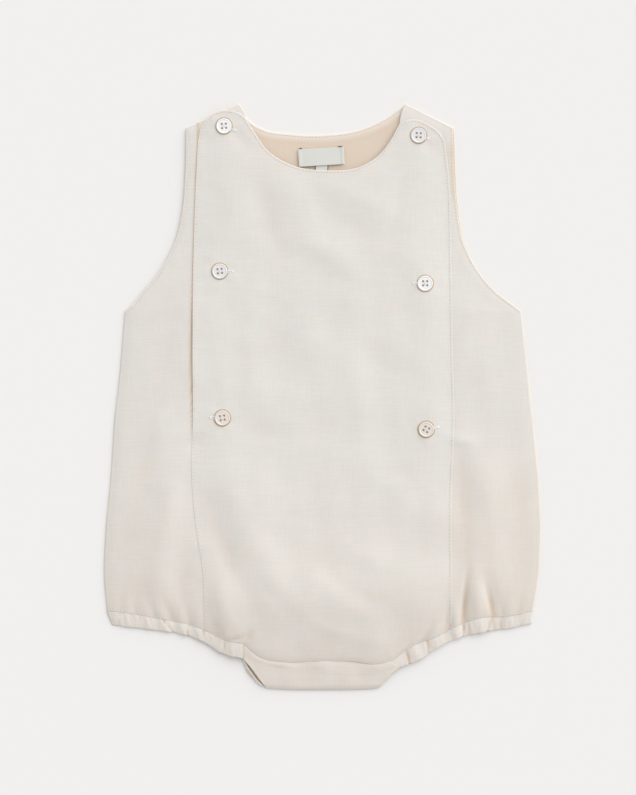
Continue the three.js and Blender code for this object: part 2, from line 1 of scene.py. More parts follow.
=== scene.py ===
import bpy
import numpy as np
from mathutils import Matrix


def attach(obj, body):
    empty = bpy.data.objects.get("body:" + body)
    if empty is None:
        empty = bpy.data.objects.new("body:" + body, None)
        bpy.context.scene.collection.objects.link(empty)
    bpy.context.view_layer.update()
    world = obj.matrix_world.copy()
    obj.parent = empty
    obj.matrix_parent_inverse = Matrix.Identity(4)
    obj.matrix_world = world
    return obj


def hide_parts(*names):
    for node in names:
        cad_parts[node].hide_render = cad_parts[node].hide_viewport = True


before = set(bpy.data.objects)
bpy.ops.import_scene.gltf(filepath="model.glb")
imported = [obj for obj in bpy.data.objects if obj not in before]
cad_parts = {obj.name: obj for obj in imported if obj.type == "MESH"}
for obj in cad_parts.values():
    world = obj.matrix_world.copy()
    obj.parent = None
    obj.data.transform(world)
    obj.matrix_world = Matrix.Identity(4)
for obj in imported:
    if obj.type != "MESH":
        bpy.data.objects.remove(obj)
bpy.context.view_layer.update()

# The surface the romper lies on, the soft light and the camera straight above.
# The surface is a matt pale sheet. The light is a pale sky and one wide, far lamp from the upper right,
# and the lens is long, so that the garment is seen almost without perspective.
MM = 0.001
LENS = 100
SENSOR = 36
FRAME_HEIGHT = 0.5406
CAMERA_AT = (-0.00306, -0.00017, FRAME_HEIGHT / SENSOR * LENS)
LAMP_FROM = (0.60, 0.72, 0.62)
LAMP_SPREAD = np.radians(70)
LAMP_STRENGTH = 2.15
SKY = (1.0, 0.998, 0.992, 1)
SKY_STRENGTH = 0.595
FLOOR_HALF = 6.0
FLOOR_COLOUR = (0.905, 0.897, 0.884, 1)
PAPER_GRAIN = 900.0


class Value:
    """A socket of a material. Arithmetic on it adds Math nodes, or Vector Math where it is a vector."""

    def __init__(self, finish, socket):
        self.finish = finish
        self.socket = socket

    def maths(self, operation, *values):
        is_vector = self.socket.type == "VECTOR"
        kind = "ShaderNodeVectorMath" if is_vector else "ShaderNodeMath"
        return self.finish.node(kind, {"operation": operation}, dict(enumerate(values)))

    def __add__(self, other):
        return self.maths("ADD", self, other)

    def __radd__(self, other):
        return self.maths("ADD", other, self)

    def __sub__(self, other):
        return self.maths("SUBTRACT", self, other)

    def __rsub__(self, other):
        return self.maths("SUBTRACT", other, self)

    def __mul__(self, other):
        return self.maths("MULTIPLY", self, other)

    def __rmul__(self, other):
        return self.maths("MULTIPLY", other, self)

    def sine(self):
        return self.maths("SINE", self)

    def size(self):
        """The number without its sign."""
        return self.maths("ABSOLUTE", self)


class Finish:
    """A material with one Principled shader, to which node() adds what varies over the surface."""

    def __init__(self, name, **sockets):
        self.material = bpy.data.materials.new(name)
        self.material.use_nodes = True
        self.tree = self.material.node_tree
        self.shader = self.tree.nodes["Principled BSDF"]
        for socket, value in sockets.items():
            self.shader.inputs[socket.replace("_", " ").title().replace("Ior", "IOR")].default_value = value

    def node(self, kind, settings, values, out=0):
        """Adds a node with these settings and socket values, and returns one output, or several."""
        node = self.tree.nodes.new(kind)
        for name, value in settings.items():
            setattr(node, name, value)
        for key, value in values.items():
            socket = node.inputs[key]
            if isinstance(value, Value):
                self.tree.links.new(value.socket, socket)
            elif socket.type == "VECTOR" and isinstance(value, (int, float)):
                socket.default_value = (value, value, value)
            else:
                socket.default_value = value
        if isinstance(out, tuple):
            return [Value(self, node.outputs[name]) for name in out]
        return Value(self, node.outputs[out])

    def colour_mix(self, share, first, second):
        """The first colour where share is 0, and the second where it is 1."""
        return self.node("ShaderNodeMix", {"data_type": "RGBA"}, {0: share, 6: first, 7: second}, out=2)

    def noise(self, vector, detail=2.0, roughness=0.5):
        """Smooth noise about 0.5, one feature to each unit of the vector."""
        values = {"Vector": vector, "Scale": 1.0, "Detail": detail, "Roughness": roughness}
        return self.node("ShaderNodeTexNoise", {}, values)

    def place(self):
        """The point of the surface, in metres."""
        return self.node("ShaderNodeTexCoord", {}, {}, out="Object")

    def field(self, name):
        """The numbers that a mesh keeps at its points under a name."""
        return self.node("ShaderNodeAttribute", {"attribute_name": name}, {}, out="Fac")

    def feed(self, socket, value):
        self.tree.links.new(value.socket, self.shader.inputs[socket])

    def colour(self, share, first, second):
        """Colours the surface with the first colour where share is 0, and the second where it is 1."""
        self.feed("Base Color", self.colour_mix(share, first, second))

    def relief(self, strength, reach, height):
        """Gives the surface a fine relief, in which a height of 1 stands reach metres high."""
        bump = {"Strength": strength, "Distance": reach, "Height": height}
        self.feed("Normal", self.node("ShaderNodeBump", {}, bump))


scene = bpy.context.scene


def new_object(name, data):
    """An object of a mesh, a camera or a lamp, in the scene and at the origin."""
    thing = bpy.data.objects.new(name, data)
    scene.collection.objects.link(thing)
    return thing


paper = Finish("pale_sheet", base_color=FLOOR_COLOUR, roughness=0.9, specular_ior_level=0.1)
paper.relief(0.05, 0.0001, paper.noise(paper.place() * PAPER_GRAIN))

floor_mesh = bpy.data.meshes.new("floor")
floor_corners = np.array([(-1, -1, 0), (1, -1, 0), (1, 1, 0), (-1, 1, 0)]) * FLOOR_HALF
floor_mesh.from_pydata(floor_corners.tolist(), [], [(0, 1, 2, 3)])
floor_mesh.materials.append(paper.material)
floor = new_object("floor", floor_mesh)

scene.view_settings.view_transform = "Standard"
camera_data = bpy.data.cameras.new("camera")
camera_data.lens = LENS
camera_data.sensor_width = SENSOR
camera = new_object("camera", camera_data)
camera.location = CAMERA_AT
scene.camera = camera

world = bpy.data.worlds.new("sky")
world.use_nodes = True
background = world.node_tree.nodes["Background"]
background.inputs["Color"].default_value = SKY
background.inputs["Strength"].default_value = SKY_STRENGTH
scene.world = world

lamp_data = bpy.data.lights.new("lamp", "SUN")
lamp_data.angle = LAMP_SPREAD
lamp_data.energy = LAMP_STRENGTH
lamp = new_object("lamp", lamp_data)
lamp.location = LAMP_FROM
lamp.rotation_euler = (-lamp.location).to_track_quat("-Z", "Y").to_euler()

# The back: one piece of cream linen from the shoulders to the crotch, laid face down.
# Its inner face shows in the neck, painted peach and darker for the warm shade and the light through the
# cloth there.
# Its neckline and armholes are turned in and topstitched. All shapes here are worked out in millimetres.
CLOTH = 0.7  # one piece of cloth with its turned edge
BACK_CLOTH = 0.8
SOLID = 1.0  # the wall of the same piece in the solid part
GAP = 0.3
LAYER = SOLID + GAP
BACK_MIDDLE = 0.42  # the middle of the back's cloth over the surface
BACK_SIZE = (290, 370)  # what its grid is spaced for
EDGE_ROUND = 0.35
EDGE_BAND = 1.35  # from an edge to its topstitching
EDGE_BAND_RISE = 0.09
EDGE_VALLEY_DEPTH = 0.04
EDGE_STEPS = (0, 0.1, 0.25, 0.45, 0.8, 1.15, 1.4, 1.6, 1.8, 2.1, 2.7, 3.8)
GRID_STEP = 1.7
LINEN_PALE = (0.859, 0.822, 0.788, 1)
LINEN_DEEP = (0.770, 0.737, 0.689, 1)
# Painted shade: the warm, darker colour that the outer linen takes where it would lie in shade.
LINEN_PAINTED_SHADE = (0.600, 0.360, 0.160, 1)
INNER_PALE = (0.915, 0.828, 0.760, 1)
INNER_DEEP = (0.868, 0.775, 0.695, 1)
# Painted shade: the warm, darker colour that the inner face takes where it would lie in shade.
INNER_PAINTED_SHADE = (0.725, 0.582, 0.438, 1)
THREAD_PITCH = 0.46
LINEN_RELIEF = 0.00022


def table(columns, rows):
    """Rows of numbers as an array with named columns."""
    return np.array([tuple(row) for row in rows], dtype=[(name, float) for name in columns.split()])


LEFT_CASING = table("low_x low_y high_x high_y", [
    (-143.0, -154.6, -146.2, -145.3),
    (-129.5, -156.3, -130.0, -147.2),
    (-108.0, -158.8, -108.5, -151.0),
    (-91.0, -161.8, -91.0, -154.4),
    (-80.5, -166.2, -79.0, -158.8),
    (-68.0, -173.8, -66.5, -165.0),
    (-53.3, -177.3, -53.1, -167.4),
])
RIGHT_CASING = table("low_x low_y high_x high_y", [
    (142.2, -153.8, 142.8, -145.5),
    (128.0, -156.7, 128.0, -148.8),
    (106.0, -160.0, 105.0, -150.4),
    (90.0, -164.5, 88.0, -157.2),
    (78.0, -170.0, 75.5, -163.6),
    (66.5, -177.8, 63.0, -167.9),
    (50.5, -184.0, 46.9, -179.2),
])
CROTCH = table("x y", [
    (-53.6, -166.9),
    (-50.0, -170.6),
    (-45.0, -174.9),
    (-39.0, -178.0),
    (-30.0, -179.4),
    (0.0, -179.2),
    (22.0, -179.4),
    (36.0, -181.2),
    (47.6, -178.2),
])
SIDES = table("y left right", [
    (-120.0, -148.1, 146.9),
    (-88.0, -146.8, 148.1),
    (-57.0, -143.8, 146.9),
    (-15.0, -141.0, 142.7),
    (17.0, -137.4, 139.4),
    (58.5, -134.1, 135.0),
])
ARMHOLES = table("y left right right_shows", [
    (58.5, -134.1, 135.0, 0.0),
    (64.5, -127.6, 126.9, 0.0),
    (73.0, -120.7, 116.2, 0.0),
    (86.0, -110.5, 105.5, 0.0),
    (105.0, -100.5, 96.2, 0.3),
    (130.0, -94.8, 91.8, 0.6),
    (155.0, -93.1, 90.1, 0.8),
    (183.0, -92.5, 89.3, 0.7),
])
BACK_NECK = table("x y", [
    (-56.8, 199.2),
    (-50.6, 188.6),
    (-40.0, 182.0),
    (-22.0, 179.0),
    (4.0, 178.5),
    (22.0, 181.0),
    (42.0, 189.0),
    (56.1, 198.9),
])
HEM_CORNERS = {"left": -146.2, "right": 142.8}
UNDERARM = (56.0, 62.0)  # from the side seam's top to the armhole's turned edge
UNDERARM_SHARE = 0.6
BACK_SHOULDER_SHARE = 0.17
BACK_LEG_SHARE = 0.31


def smooth_line(points, shares):
    """A cubic Hermite curve through points, whose slope at each is the mean slope to its neighbours,
    weighted by their distances. Shares run from 0 to 1 along it. Points may be rows of a surface too."""
    points = np.asarray(points, float)
    steps = np.linalg.norm(np.diff(points, axis=0), axis=-1).reshape(len(points) - 1, -1).mean(1)
    knots = np.concatenate([[0], np.cumsum(steps)])
    slopes = np.gradient(points, knots, axis=0)
    way = np.asarray(shares, float) * knots[-1]
    index = np.clip(np.searchsorted(knots, way, side="right") - 1, 0, len(knots) - 2)
    column = (-1,) + (1,) * (points.ndim - 1)
    span = steps[index].reshape(column)
    s = ((way - knots[index]) / steps[index]).reshape(column)
    start = points[index] * (2 * s**3 - 3 * s**2 + 1) + slopes[index] * span * (s**3 - 2 * s**2 + s)
    end = points[index + 1] * (3 * s**2 - 2 * s**3) + slopes[index + 1] * span * (s**3 - s**2)
    return start + end


def columns_of(rows, *names):
    """Named columns of a table as points."""
    return np.stack([rows[name] for name in names], axis=-1)


def joined(shares, *parts):
    """Curves one after another. Each part is its share of the whole and a function of 0 to 1."""
    points = np.zeros((len(shares), 2))
    start = 0.0
    for share, curve in parts:
        here = (shares >= start - 1e-9) & (shares <= start + share + 1e-9)
        points[here] = curve((shares[here] - start) / share)
        start += share
    return points


def hem_line(casing, from_x, to_x):
    """The seam between a panel and a leg casing, as a function of 0 to 1: the casing's upper edge."""
    upper = smooth_line(columns_of(casing, "high_x", "high_y"), np.linspace(0, 1, 300))
    upper = upper[np.argsort(upper[:, 0])]

    def line(share):
        x = from_x + (to_x - from_x) * share
        return np.stack([x, np.interp(x, upper[:, 0], upper[:, 1])], axis=-1)

    return line


def outer_edge(side, corner, shares, strip=0.0):
    """A panel's edge from its hem up the side seam and round the armhole. strip is the share of the
    strip of the back that shows past the right front."""
    seam = np.vstack([corner, columns_of(SIDES, side, "y")])
    armhole = columns_of(ARMHOLES, side, "y")
    if side == "right":
        armhole[:, 0] -= strip * ARMHOLES["right_shows"]
    return joined(
        shares,
        (UNDERARM_SHARE, lambda t: smooth_line(seam, t)),
        (1 - UNDERARM_SHARE, lambda t: smooth_line(armhole, t)),
    )


def soft_step(value, low, high):
    """0 below low, 1 above high, and eased between them."""
    share = np.clip((value - low) / (high - low), 0, 1)
    return share * share * (3 - 2 * share)


def bell(away, width):
    """1 at 0, falling off to both sides as exp(-(away / width) squared)."""
    return np.exp(-((away / width) ** 2))


def unit(vectors):
    return vectors / np.linalg.norm(vectors, axis=-1, keepdims=True)


def left_of(ways):
    """Flat directions turned a quarter to the left."""
    return np.stack([-ways[..., 1], ways[..., 0]], -1)


def graded(width, corners=()):
    """Shares across a panel of that width: close together near its two edges, where the turned edge and
    its stitching are, then every GRID_STEP, with one at each corner that is named."""
    near = np.array(EDGE_STEPS) / width
    middle = np.linspace(near[-1], 1 - near[-1], int(width / GRID_STEP))
    shares = np.concatenate([near[:-1], middle, 1 - near[-2::-1], corners])
    shares = np.unique(np.round(shares, 7))
    return shares[np.concatenate([[True], np.diff(shares) > 0.02 / width])]


def patch(bottom, top, left, right, u, v):
    """The Coons surface between four edges: the blend of bottom and top by v, plus the blend of left and
    right by u, less the blend of the four corners."""
    u = u[None, :, None]
    v = v[:, None, None]
    corners = (1 - v) * ((1 - u) * bottom[0] + u * bottom[-1]) + v * ((1 - u) * top[0] + u * top[-1])
    across = (1 - v) * bottom[None] + v * top[None]
    along = (1 - u) * left[:, None] + u * right[:, None]
    return across + along - corners


def outline(grid):
    """The four edges of a grid of points."""
    return [grid[0], grid[-1], grid[:, 0], grid[:, -1]]


def distance(points, lines):
    """How far each point lies from the nearest of some lines of points, measured to their segments.
    Points of the plane are worked with as complex numbers, so that a quotient's real part is the share
    of a segment."""
    place = (points @ np.array([1, 1j])).astype(np.complex64)
    turned = [(line @ np.array([1, 1j])).astype(np.complex64) for line in lines]
    starts = np.concatenate([line[:-1] for line in turned])
    steps = np.concatenate([np.diff(line) for line in turned])
    starts = starts[np.abs(steps) > 0]
    steps = steps[np.abs(steps) > 0]
    nearest = []
    for block in np.array_split(place.ravel(), max(1, place.size // 400)):
        away = block[:, None] - starts
        share = np.clip((away / steps).real, 0, 1)
        nearest.append(np.abs(away - share * steps).min(1))
    return np.concatenate(nearest).reshape(place.shape)


def turned_edge(away):
    """The height of a turned and topstitched edge at a distance from it: a raised band of double cloth,
    then a narrow valley under the stitches."""
    band = EDGE_BAND_RISE / (1 + np.exp((away - EDGE_BAND) / 0.18))
    return band - EDGE_VALLEY_DEPTH * bell(away - EDGE_BAND, 0.32)


def thickness(away, cloth=CLOTH):
    """The wall, rounded off like a half circle at its edge."""
    inside = np.clip(away / EDGE_ROUND, 0, 1)
    return cloth * np.maximum(np.sqrt(1 - (1 - inside) ** 2), 0.12)


def faces_of_wall(rows, columns):
    """The quads of a closed wall between an upper and a lower grid: the faces above, below and round."""
    index = np.arange(rows * columns).reshape(rows, columns)
    under = index + rows * columns
    above = np.stack([index[:-1, :-1], index[:-1, 1:], index[1:, 1:], index[1:, :-1]], -1).reshape(-1, 4)
    below = np.stack([under[:-1, :-1], under[1:, :-1], under[1:, 1:], under[:-1, 1:]], -1).reshape(-1, 4)
    ring = np.concatenate([index[0, :-1], index[:-1, -1], index[-1, :0:-1], index[:0:-1, 0]])
    after = np.roll(ring, -1)
    rim = np.stack([after, ring, ring + rows * columns, after + rows * columns], -1)
    return above, below, rim


def new_mesh(name, points, faces, finishes, slot, **fields):
    """A smooth mesh object at the origin that rides on the garment. Points are in millimetres. faces
    are arrays of faces, one to each finish, and fields are numbers kept at the points."""
    mesh = bpy.data.meshes.new(name)
    rows = [face for part in faces for face in part.tolist()]
    mesh.from_pydata((np.asarray(points).reshape(-1, 3) * MM).tolist(), [], rows)
    kinds = np.repeat(np.arange(len(faces)), [len(part) for part in faces])
    for finish in finishes:
        mesh.materials.append(finish.material)
    mesh.polygons.foreach_set("material_index", kinds.astype(np.int32))
    mesh.polygons.foreach_set("use_smooth", np.ones(len(rows), bool))
    for field, values in fields.items():
        attribute = mesh.attributes.new(field, "FLOAT", "POINT")
        attribute.data.foreach_set("value", np.asarray(values, np.float32).ravel())
    mesh.update()
    piece = new_object(name, mesh)
    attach(piece, "root")
    return piece


def cloth_wall(name, middle, wall, finishes, warmth=0, slot="linen"):
    """A wall of cloth about a middle surface: each point moved out both ways along the surface's normal
    by half the wall. finishes are those of the upper face, the lower face and the rim."""
    normal = np.cross(np.gradient(middle, axis=1), np.gradient(middle, axis=0))
    normal /= np.maximum(np.linalg.norm(normal, axis=-1, keepdims=True), 1e-9)
    half = normal * wall[..., None] / 2
    above, below, rim = faces_of_wall(*middle.shape[:2])
    points = np.stack([middle + half, middle - half])
    # Painted shade: the thin rounded edges get more of the warm, darker colour.
    edge = 0.11 * (1 - wall / wall.max()) ** 2
    painted_shade_values = np.broadcast_to(np.clip(warmth + edge, 0, 1), points.shape[:3])
    return new_mesh(name, points, [above, below, rim], finishes, slot, warmth=painted_shade_values)


def panel(name, grid, height, finishes, warmth, cloth=CLOTH):
    """A wall of cloth over a grid of flat points, rounded off at the grid's four edges."""
    wall = thickness(distance(grid, outline(grid)), cloth)
    return cloth_wall(name, np.dstack([grid, height]), wall, finishes, warmth)


def linen(name, pale, deep, warm, rings=()):
    """Plain-woven linen: crossing threads, thick slubs along both, a faint unevenness of tone, and a
    painted warm shade, darker and browner, where the mesh's warmth numbers are high. Each of the rings,
    (x, y, radius, width), is a painted shadow round a button: a thin warm line on a circle, which fades as
    the distance from it."""
    finish = Finish(
        name,
        roughness=0.86,
        specular_ior_level=0.2,
        sheen_weight=0.1,
        sheen_roughness=0.5,
        subsurface_weight=0.5,
        subsurface_radius=(0.8, 0.6, 0.45),
        subsurface_scale=0.0012,
    )
    place = finish.place()
    x, y = finish.node("ShaderNodeSeparateXYZ", {}, {0: place}, out=("X", "Y"))
    turns = np.pi / (THREAD_PITCH * MM)
    threads = (x * turns).sine() * (y * turns).sine()
    weft_slubs = finish.noise(place * (75.0, 1150.0, 75.0), detail=3.0, roughness=0.6)
    warp_slubs = finish.noise(place * (1250.0, 80.0, 80.0) + 7.0, detail=3.0, roughness=0.6)
    clouds = finish.noise(place * 38.0 + 3.0, detail=3.0)
    tone = weft_slubs * 0.8 + warp_slubs * 0.7 + clouds * 0.6 - 0.55
    # The mesh's shade numbers, plus the painted shadow rings, mix the painted warm shade colour in.
    warmth = finish.field("warmth")
    flat = place * (1.0, 1.0, 0.0)
    for x_middle, y_middle, radius, width in rings:
        middle = (x_middle * MM, y_middle * MM, 0)
        span = {0: flat, 1: middle}
        far = finish.node("ShaderNodeVectorMath", {"operation": "DISTANCE"}, span, out="Value")
        off = ((far - radius * MM) * (1 / width / MM)).size()
        fading = {"operation": "SUBTRACT", "use_clamp": True}
        warmth = warmth + finish.node("ShaderNodeMath", fading, {0: 1.0, 1: off})
    finish.colour(warmth, finish.colour_mix(tone, pale, deep), warm)
    finish.relief(0.35, LINEN_RELIEF, threads * 0.22 + weft_slubs * 0.9 + warp_slubs * 0.8)
    return finish


OUTER = linen("linen_outer", LINEN_PALE, LINEN_DEEP, LINEN_PAINTED_SHADE)
# The inner face's finish is the same linen painted peach, for the warm shade and light through the cloth
# inside the garment.
INNER = linen("linen_inner_shaded", INNER_PALE, INNER_DEEP, INNER_PAINTED_SHADE)

back_corners = (BACK_SHOULDER_SHARE, 1 - BACK_SHOULDER_SHARE, BACK_LEG_SHARE, 1 - BACK_LEG_SHARE)
back_u = graded(BACK_SIZE[0], back_corners)
back_v = graded(BACK_SIZE[1], (UNDERARM_SHARE,))
crotch_points = columns_of(CROTCH, "x", "y")
crotch_points[0] = hem_line(LEFT_CASING, HEM_CORNERS["left"], CROTCH["x"][0])(np.ones(1))[0]
crotch_points[-1] = hem_line(RIGHT_CASING, CROTCH["x"][-1], HEM_CORNERS["right"])(np.zeros(1))[0]


def lower_edge(shares, leg_share, corners):
    """A panel's lower edge between two corners: the hem of the left leg, the crotch and the hem of the
    right leg."""
    return joined(
        shares,
        (leg_share, hem_line(LEFT_CASING, corners["left"], CROTCH["x"][0])),
        (1 - 2 * leg_share, lambda t: smooth_line(crotch_points, t)),
        (leg_share, hem_line(RIGHT_CASING, CROTCH["x"][-1], corners["right"])),
    )


shoulder_tips = {side: np.array([ARMHOLES[side][-1], ARMHOLES["y"][-1]]) for side in ("left", "right")}
neck_points = columns_of(BACK_NECK, "x", "y")
back_bottom = lower_edge(back_u, BACK_LEG_SHARE, HEM_CORNERS)
back_top = joined(
    back_u,
    (BACK_SHOULDER_SHARE, lambda t: smooth_line([shoulder_tips["left"], neck_points[0]], t)),
    (1 - 2 * BACK_SHOULDER_SHARE, lambda t: smooth_line(neck_points, t)),
    (BACK_SHOULDER_SHARE, lambda t: smooth_line([neck_points[-1], shoulder_tips["right"]], t)),
)
back_left = outer_edge("left", back_bottom[0], back_v)
back_right = outer_edge("right", back_bottom[-1], back_v)
back_grid = patch(back_bottom, back_top, back_left, back_right, back_u, back_v)

# Shallow creases of the back, where it doesn't quite lie down on the surface. They start between 3 and
# 18 mm inside its edges.
CREASE_STARTS = (3, 18)
BACK_FOLDS = table("x y turn length width bend height", [
    (-60, -90, 62, 60, 5, 0.2, 0.30),
    (35, -120, 118, 55, 6, -0.2, 0.28),
    (90, -60, 80, 50, 4, 0.1, 0.22),
    (-100, -20, 95, 45, 5, 0.2, 0.25),
    (10, -20, 20, 60, 6, 0.3, 0.22),
    (-30, 60, 140, 50, 5, 0.2, 0.25),
    (60, 80, 60, 45, 4, -0.2, 0.22),
    (-10, 120, 10, 50, 4, 0.2, 0.15),
])


def bells(x, y, rows):
    """The sum of soft ridges and troughs: each one's height, falling off as a bell along and across it,
    with its crest bent to the side as the square of the way along."""
    angle = np.radians(rows["turn"])
    dx = x[..., None] - rows["x"]
    dy = y[..., None] - rows["y"]
    along = (dx * np.cos(angle) + dy * np.sin(angle)) / rows["length"]
    across = (dy * np.cos(angle) - dx * np.sin(angle)) / rows["width"] - rows["bend"] * along**2
    return (rows["height"] * np.exp(-(along**2) - across**2)).sum(-1)


def back_height(points):
    """The middle of the back: flat on the surface, but for a few creases and its turned neckline and
    armholes."""
    x, y = np.moveaxis(points, -1, 0)
    away = distance(points, [back_top, back_left, back_right])
    creases = bells(x, y, BACK_FOLDS) * soft_step(distance(points, [back_bottom, back_top]), *CREASE_STARTS)
    settled = 0.3 * np.exp(-away / 0.35)
    turned = 0.5 * turned_edge(away) * soft_step(y, *UNDERARM)
    return BACK_MIDDLE + creases * soft_step(away, *CREASE_STARTS) + turned - settled


# The inner face gets painted warm shade: palest at the neckline and deepest 6.3 mm below it, and deeper
# again in the strip that shows beside the right armhole, in the narrow gap's shade.
NECK_SHADE = {"starts": 1.5, "full": 5.5, "deepest": 6.3}
STRIP_SHADE = (80, 88)
neck_depth = distance(back_grid, [back_top])
back_warmth = 0.05 + 0.5 * soft_step(neck_depth, NECK_SHADE["starts"], NECK_SHADE["full"])
back_warmth += 0.12 * bell(neck_depth - NECK_SHADE["deepest"], 0.8)
back_warmth += 0.45 * soft_step(back_grid[..., 0], *STRIP_SHADE)
back = panel("back_panel", back_grid, back_height(back_grid), [INNER, OUTER, OUTER], back_warmth, BACK_CLOTH)
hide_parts("back")

# The side fronts: shoulder, armhole, side seam and leg, left and right, in the same linen.
# Each runs in under the centre front, where it carries the buttons, and is eased on to its leg casing.
# They lie on the back and puff up a little over it, with soft folds and the gathers of the casings.
SIDE_FRONT_WIDTH = 76
FRONT_LENGTH = 345
LEFT_FADE = 38.0  # how gently the front comes down to its left side seam
RIGHT_FADE = 46.0
LEAST_RISE = 0.25  # below this, the rise is eased off to 0
SEAM_DROP = {"left": 0.8, "right": 0.25}
HEM_SHARE = 0.10  # of the loft that is left where a casing or the crotch seam draws the front in
HEM_REACH = 16.0
LOFT = table("y loft", [
    (-186, 3.9),
    (-150, 3.9),
    (-118, 3.7),
    (-90, 3.3),
    (-55, 2.6),
    (-20, 2.1),
    (20, 2.1),
    (70, 1.9),
    (110, 1.5),
    (150, 1.1),
    (182, 0.6),
    (200, 0.4),
])
# Soft folds of the front: where each lies, the way its crest runs, its half length and half width,
# how much it bends, and its height, which is below 0 in a trough.
FOLDS = table("x y turn length width bend height", [
    (-15, 131, -73, 28, 11, 0.2, 0.95),
    (8, 95, -30, 28, 9, -0.2, 0.90),
    (-34, 115, -72, 34, 9, 0.2, -1.00),
    (22, 114, -28, 26, 8, 0.1, -0.70),
    (33, 131, -22, 24, 8, 0.1, 0.80),
    (-9, 46, -88, 32, 10, 0.1, 0.40),
    (-31, 46, -85, 32, 10, -0.1, -0.40),
    (22, 24, 75, 30, 10, 0.2, 0.35),
    (-15, -24, 3, 36, 9, 0.1, -0.40),
    (-12, 0, 0, 34, 9, -0.1, 0.30),
    (5, -135, 0, 72, 21, 0.0, 3.10),
    (-46, -98, -66, 48, 12, 0.1, 1.60),
    (-64, -109, -66, 34, 8, 0.1, -1.20),
    (-67, -145, -72, 20, 7, 0.1, 1.50),
    (31, -108, -26, 32, 9, 0.1, 0.80),
    (20, -131, -32, 26, 7, 0.2, -0.60),
    (-104, -77, 79, 42, 8, 0.1, 1.20),
    (-124, -60, 80, 40, 7, 0.1, -0.64),
    (-139, -114, 85, 22, 4, 0.1, 0.48),
    (-97, -132, 80, 20, 7, 0.1, -1.10),
    (-122, -134, 84, 16, 7, 0.2, -0.75),
    (116, -135, -72, 15, 4, 0.2, -1.00),
    (76, 170, -35, 11, 5, 0.1, -0.70),
    (-57, 177, -50, 10, 5, 0.1, -0.60),
    (115, -83, -85, 44, 8, 0.1, 1.20),
    (96, -77, -86, 44, 7, -0.1, -1.00),
    (134, -70, -84, 36, 6, 0.1, -0.48),
    (93, -29, -10, 9, 4, 0.1, 0.60),
    (-87, -31, 20, 8, 4, 0.1, -0.60),
    (-110, 14, 76, 40, 7, 0.1, -0.48),
    (100, 66, 84, 44, 6, -0.1, 0.40),
    (112, 22, -80, 30, 7, 0.1, 0.32),
    (52, 132, 80, 22, 6, 0.2, -0.40),
    (-64, 132, -80, 26, 7, -0.2, 0.40),
    (60, -60, -60, 26, 6, 0.2, -0.30),
    (-30, 66, -30, 22, 7, 0.2, 0.25),
    (46, 60, 40, 24, 7, 0.1, -0.35),
    (-50, 20, 86, 24, 6, 0.1, 0.25),
    (-34, -134, -50, 18, 6, 0.2, -0.45),
    (8, -158, -20, 20, 5, 0.2, 0.45),
    (83, 179, -40, 10, 4, 0.0, 0.50),
])
# Gathers that run up out of the casings, at uneven places: where each starts, the way it runs, how far
# it reaches up, its half width and its height.
GATHERS = table("x y turn length width bend height", [
    (-142, -145, 86, 9, 2.4, 0.1, 0.34),
    (-137, -144, 80, 12, 2.4, 0.2, -0.47),
    (-132, -144, 92, 13, 2.8, 0.2, 0.54),
    (-126, -148, 99, 7, 1.6, 0.2, -0.61),
    (-120, -147, 98, 11, 2.8, 0.2, 0.41),
    (-114, -149, 103, 7, 1.6, 0.1, -0.54),
    (-109, -149, 106, 11, 2.5, 0.2, 0.41),
    (-102, -151, 109, 12, 1.9, 0.2, -0.61),
    (-96, -151, 100, 15, 2.8, 0.1, 0.54),
    (-90, -154, 96, 9, 1.8, 0.2, -0.54),
    (-84, -154, 94, 14, 2.6, 0.1, 0.47),
    (-72, -159, 108, 9, 2.4, 0.2, -0.41),
    (-64, -162, 112, 9, 2.4, 0.2, 0.41),
    (139, -145, 84, 9, 2.4, 0.1, 0.41),
    (134, -146, 78, 13, 1.9, 0.2, -0.68),
    (128, -146, 84, 11, 2.6, 0.2, 0.54),
    (122, -147, 92, 7, 1.6, 0.1, -0.54),
    (115, -144, 103, 15, 1.9, 0.3, -2.00),
    (105, -139, 93, 19, 5.0, 0.1, 1.50),
    (96, -142, 86, 17, 1.9, -0.2, -2.20),
    (98, -155, 100, 5, 1.4, 0.1, -1.10),
    (86, -157, 72, 6, 1.5, 0.1, -1.00),
    (70, -166, 14, 7, 1.5, 0.1, -0.60),
    (-59, -164, 15, 7, 1.4, 0.1, -0.80),
    (-50, -162, 75, 6, 3.0, 0.1, -0.60),
    (90, -149, 96, 14, 2.8, 0.2, 0.81),
    (84, -155, 84, 9, 1.8, 0.2, -0.68),
    (76, -160, 76, 10, 2.4, 0.2, 0.61),
    (69, -165, 66, 10, 1.7, 0.2, -0.61),
    (61, -169, 60, 10, 2.4, 0.2, 0.47),
    (54, -174, 48, 9, 1.8, 0.2, -0.47),
])
UNDERLAP_HEM = {"left": -74.2, "right": 80.6}
UNDERLAP_LOW = table("y left right", [
    (-100.0, -78.0, 81.0),
    (-44.0, -81.5, 81.5),
    (-12.0, -55.0, 55.0),
    (58.5, -54.0, 54.0),
])
UNDERLAP_HIGH = table("y left right", [
    (58.5, -54.0, 54.0),
    (150.0, -52.5, 52.8),
    (186.0, -51.6, 52.2),
    (193.8, -53.2, 53.8),
    (199.2, -56.8, 56.1),
])
RIPPLES = 40
RIPPLE_SEED = 11
RIPPLE_SLOPE = 0.0011
RIPPLE_LENGTHS = (16, 70)
CASINGS = {"left": LEFT_CASING, "right": RIGHT_CASING}
OUTER_SECTIONS = {name: np.concatenate([SIDES[name], ARMHOLES[name][1:]]) for name in ("y", "left", "right")}


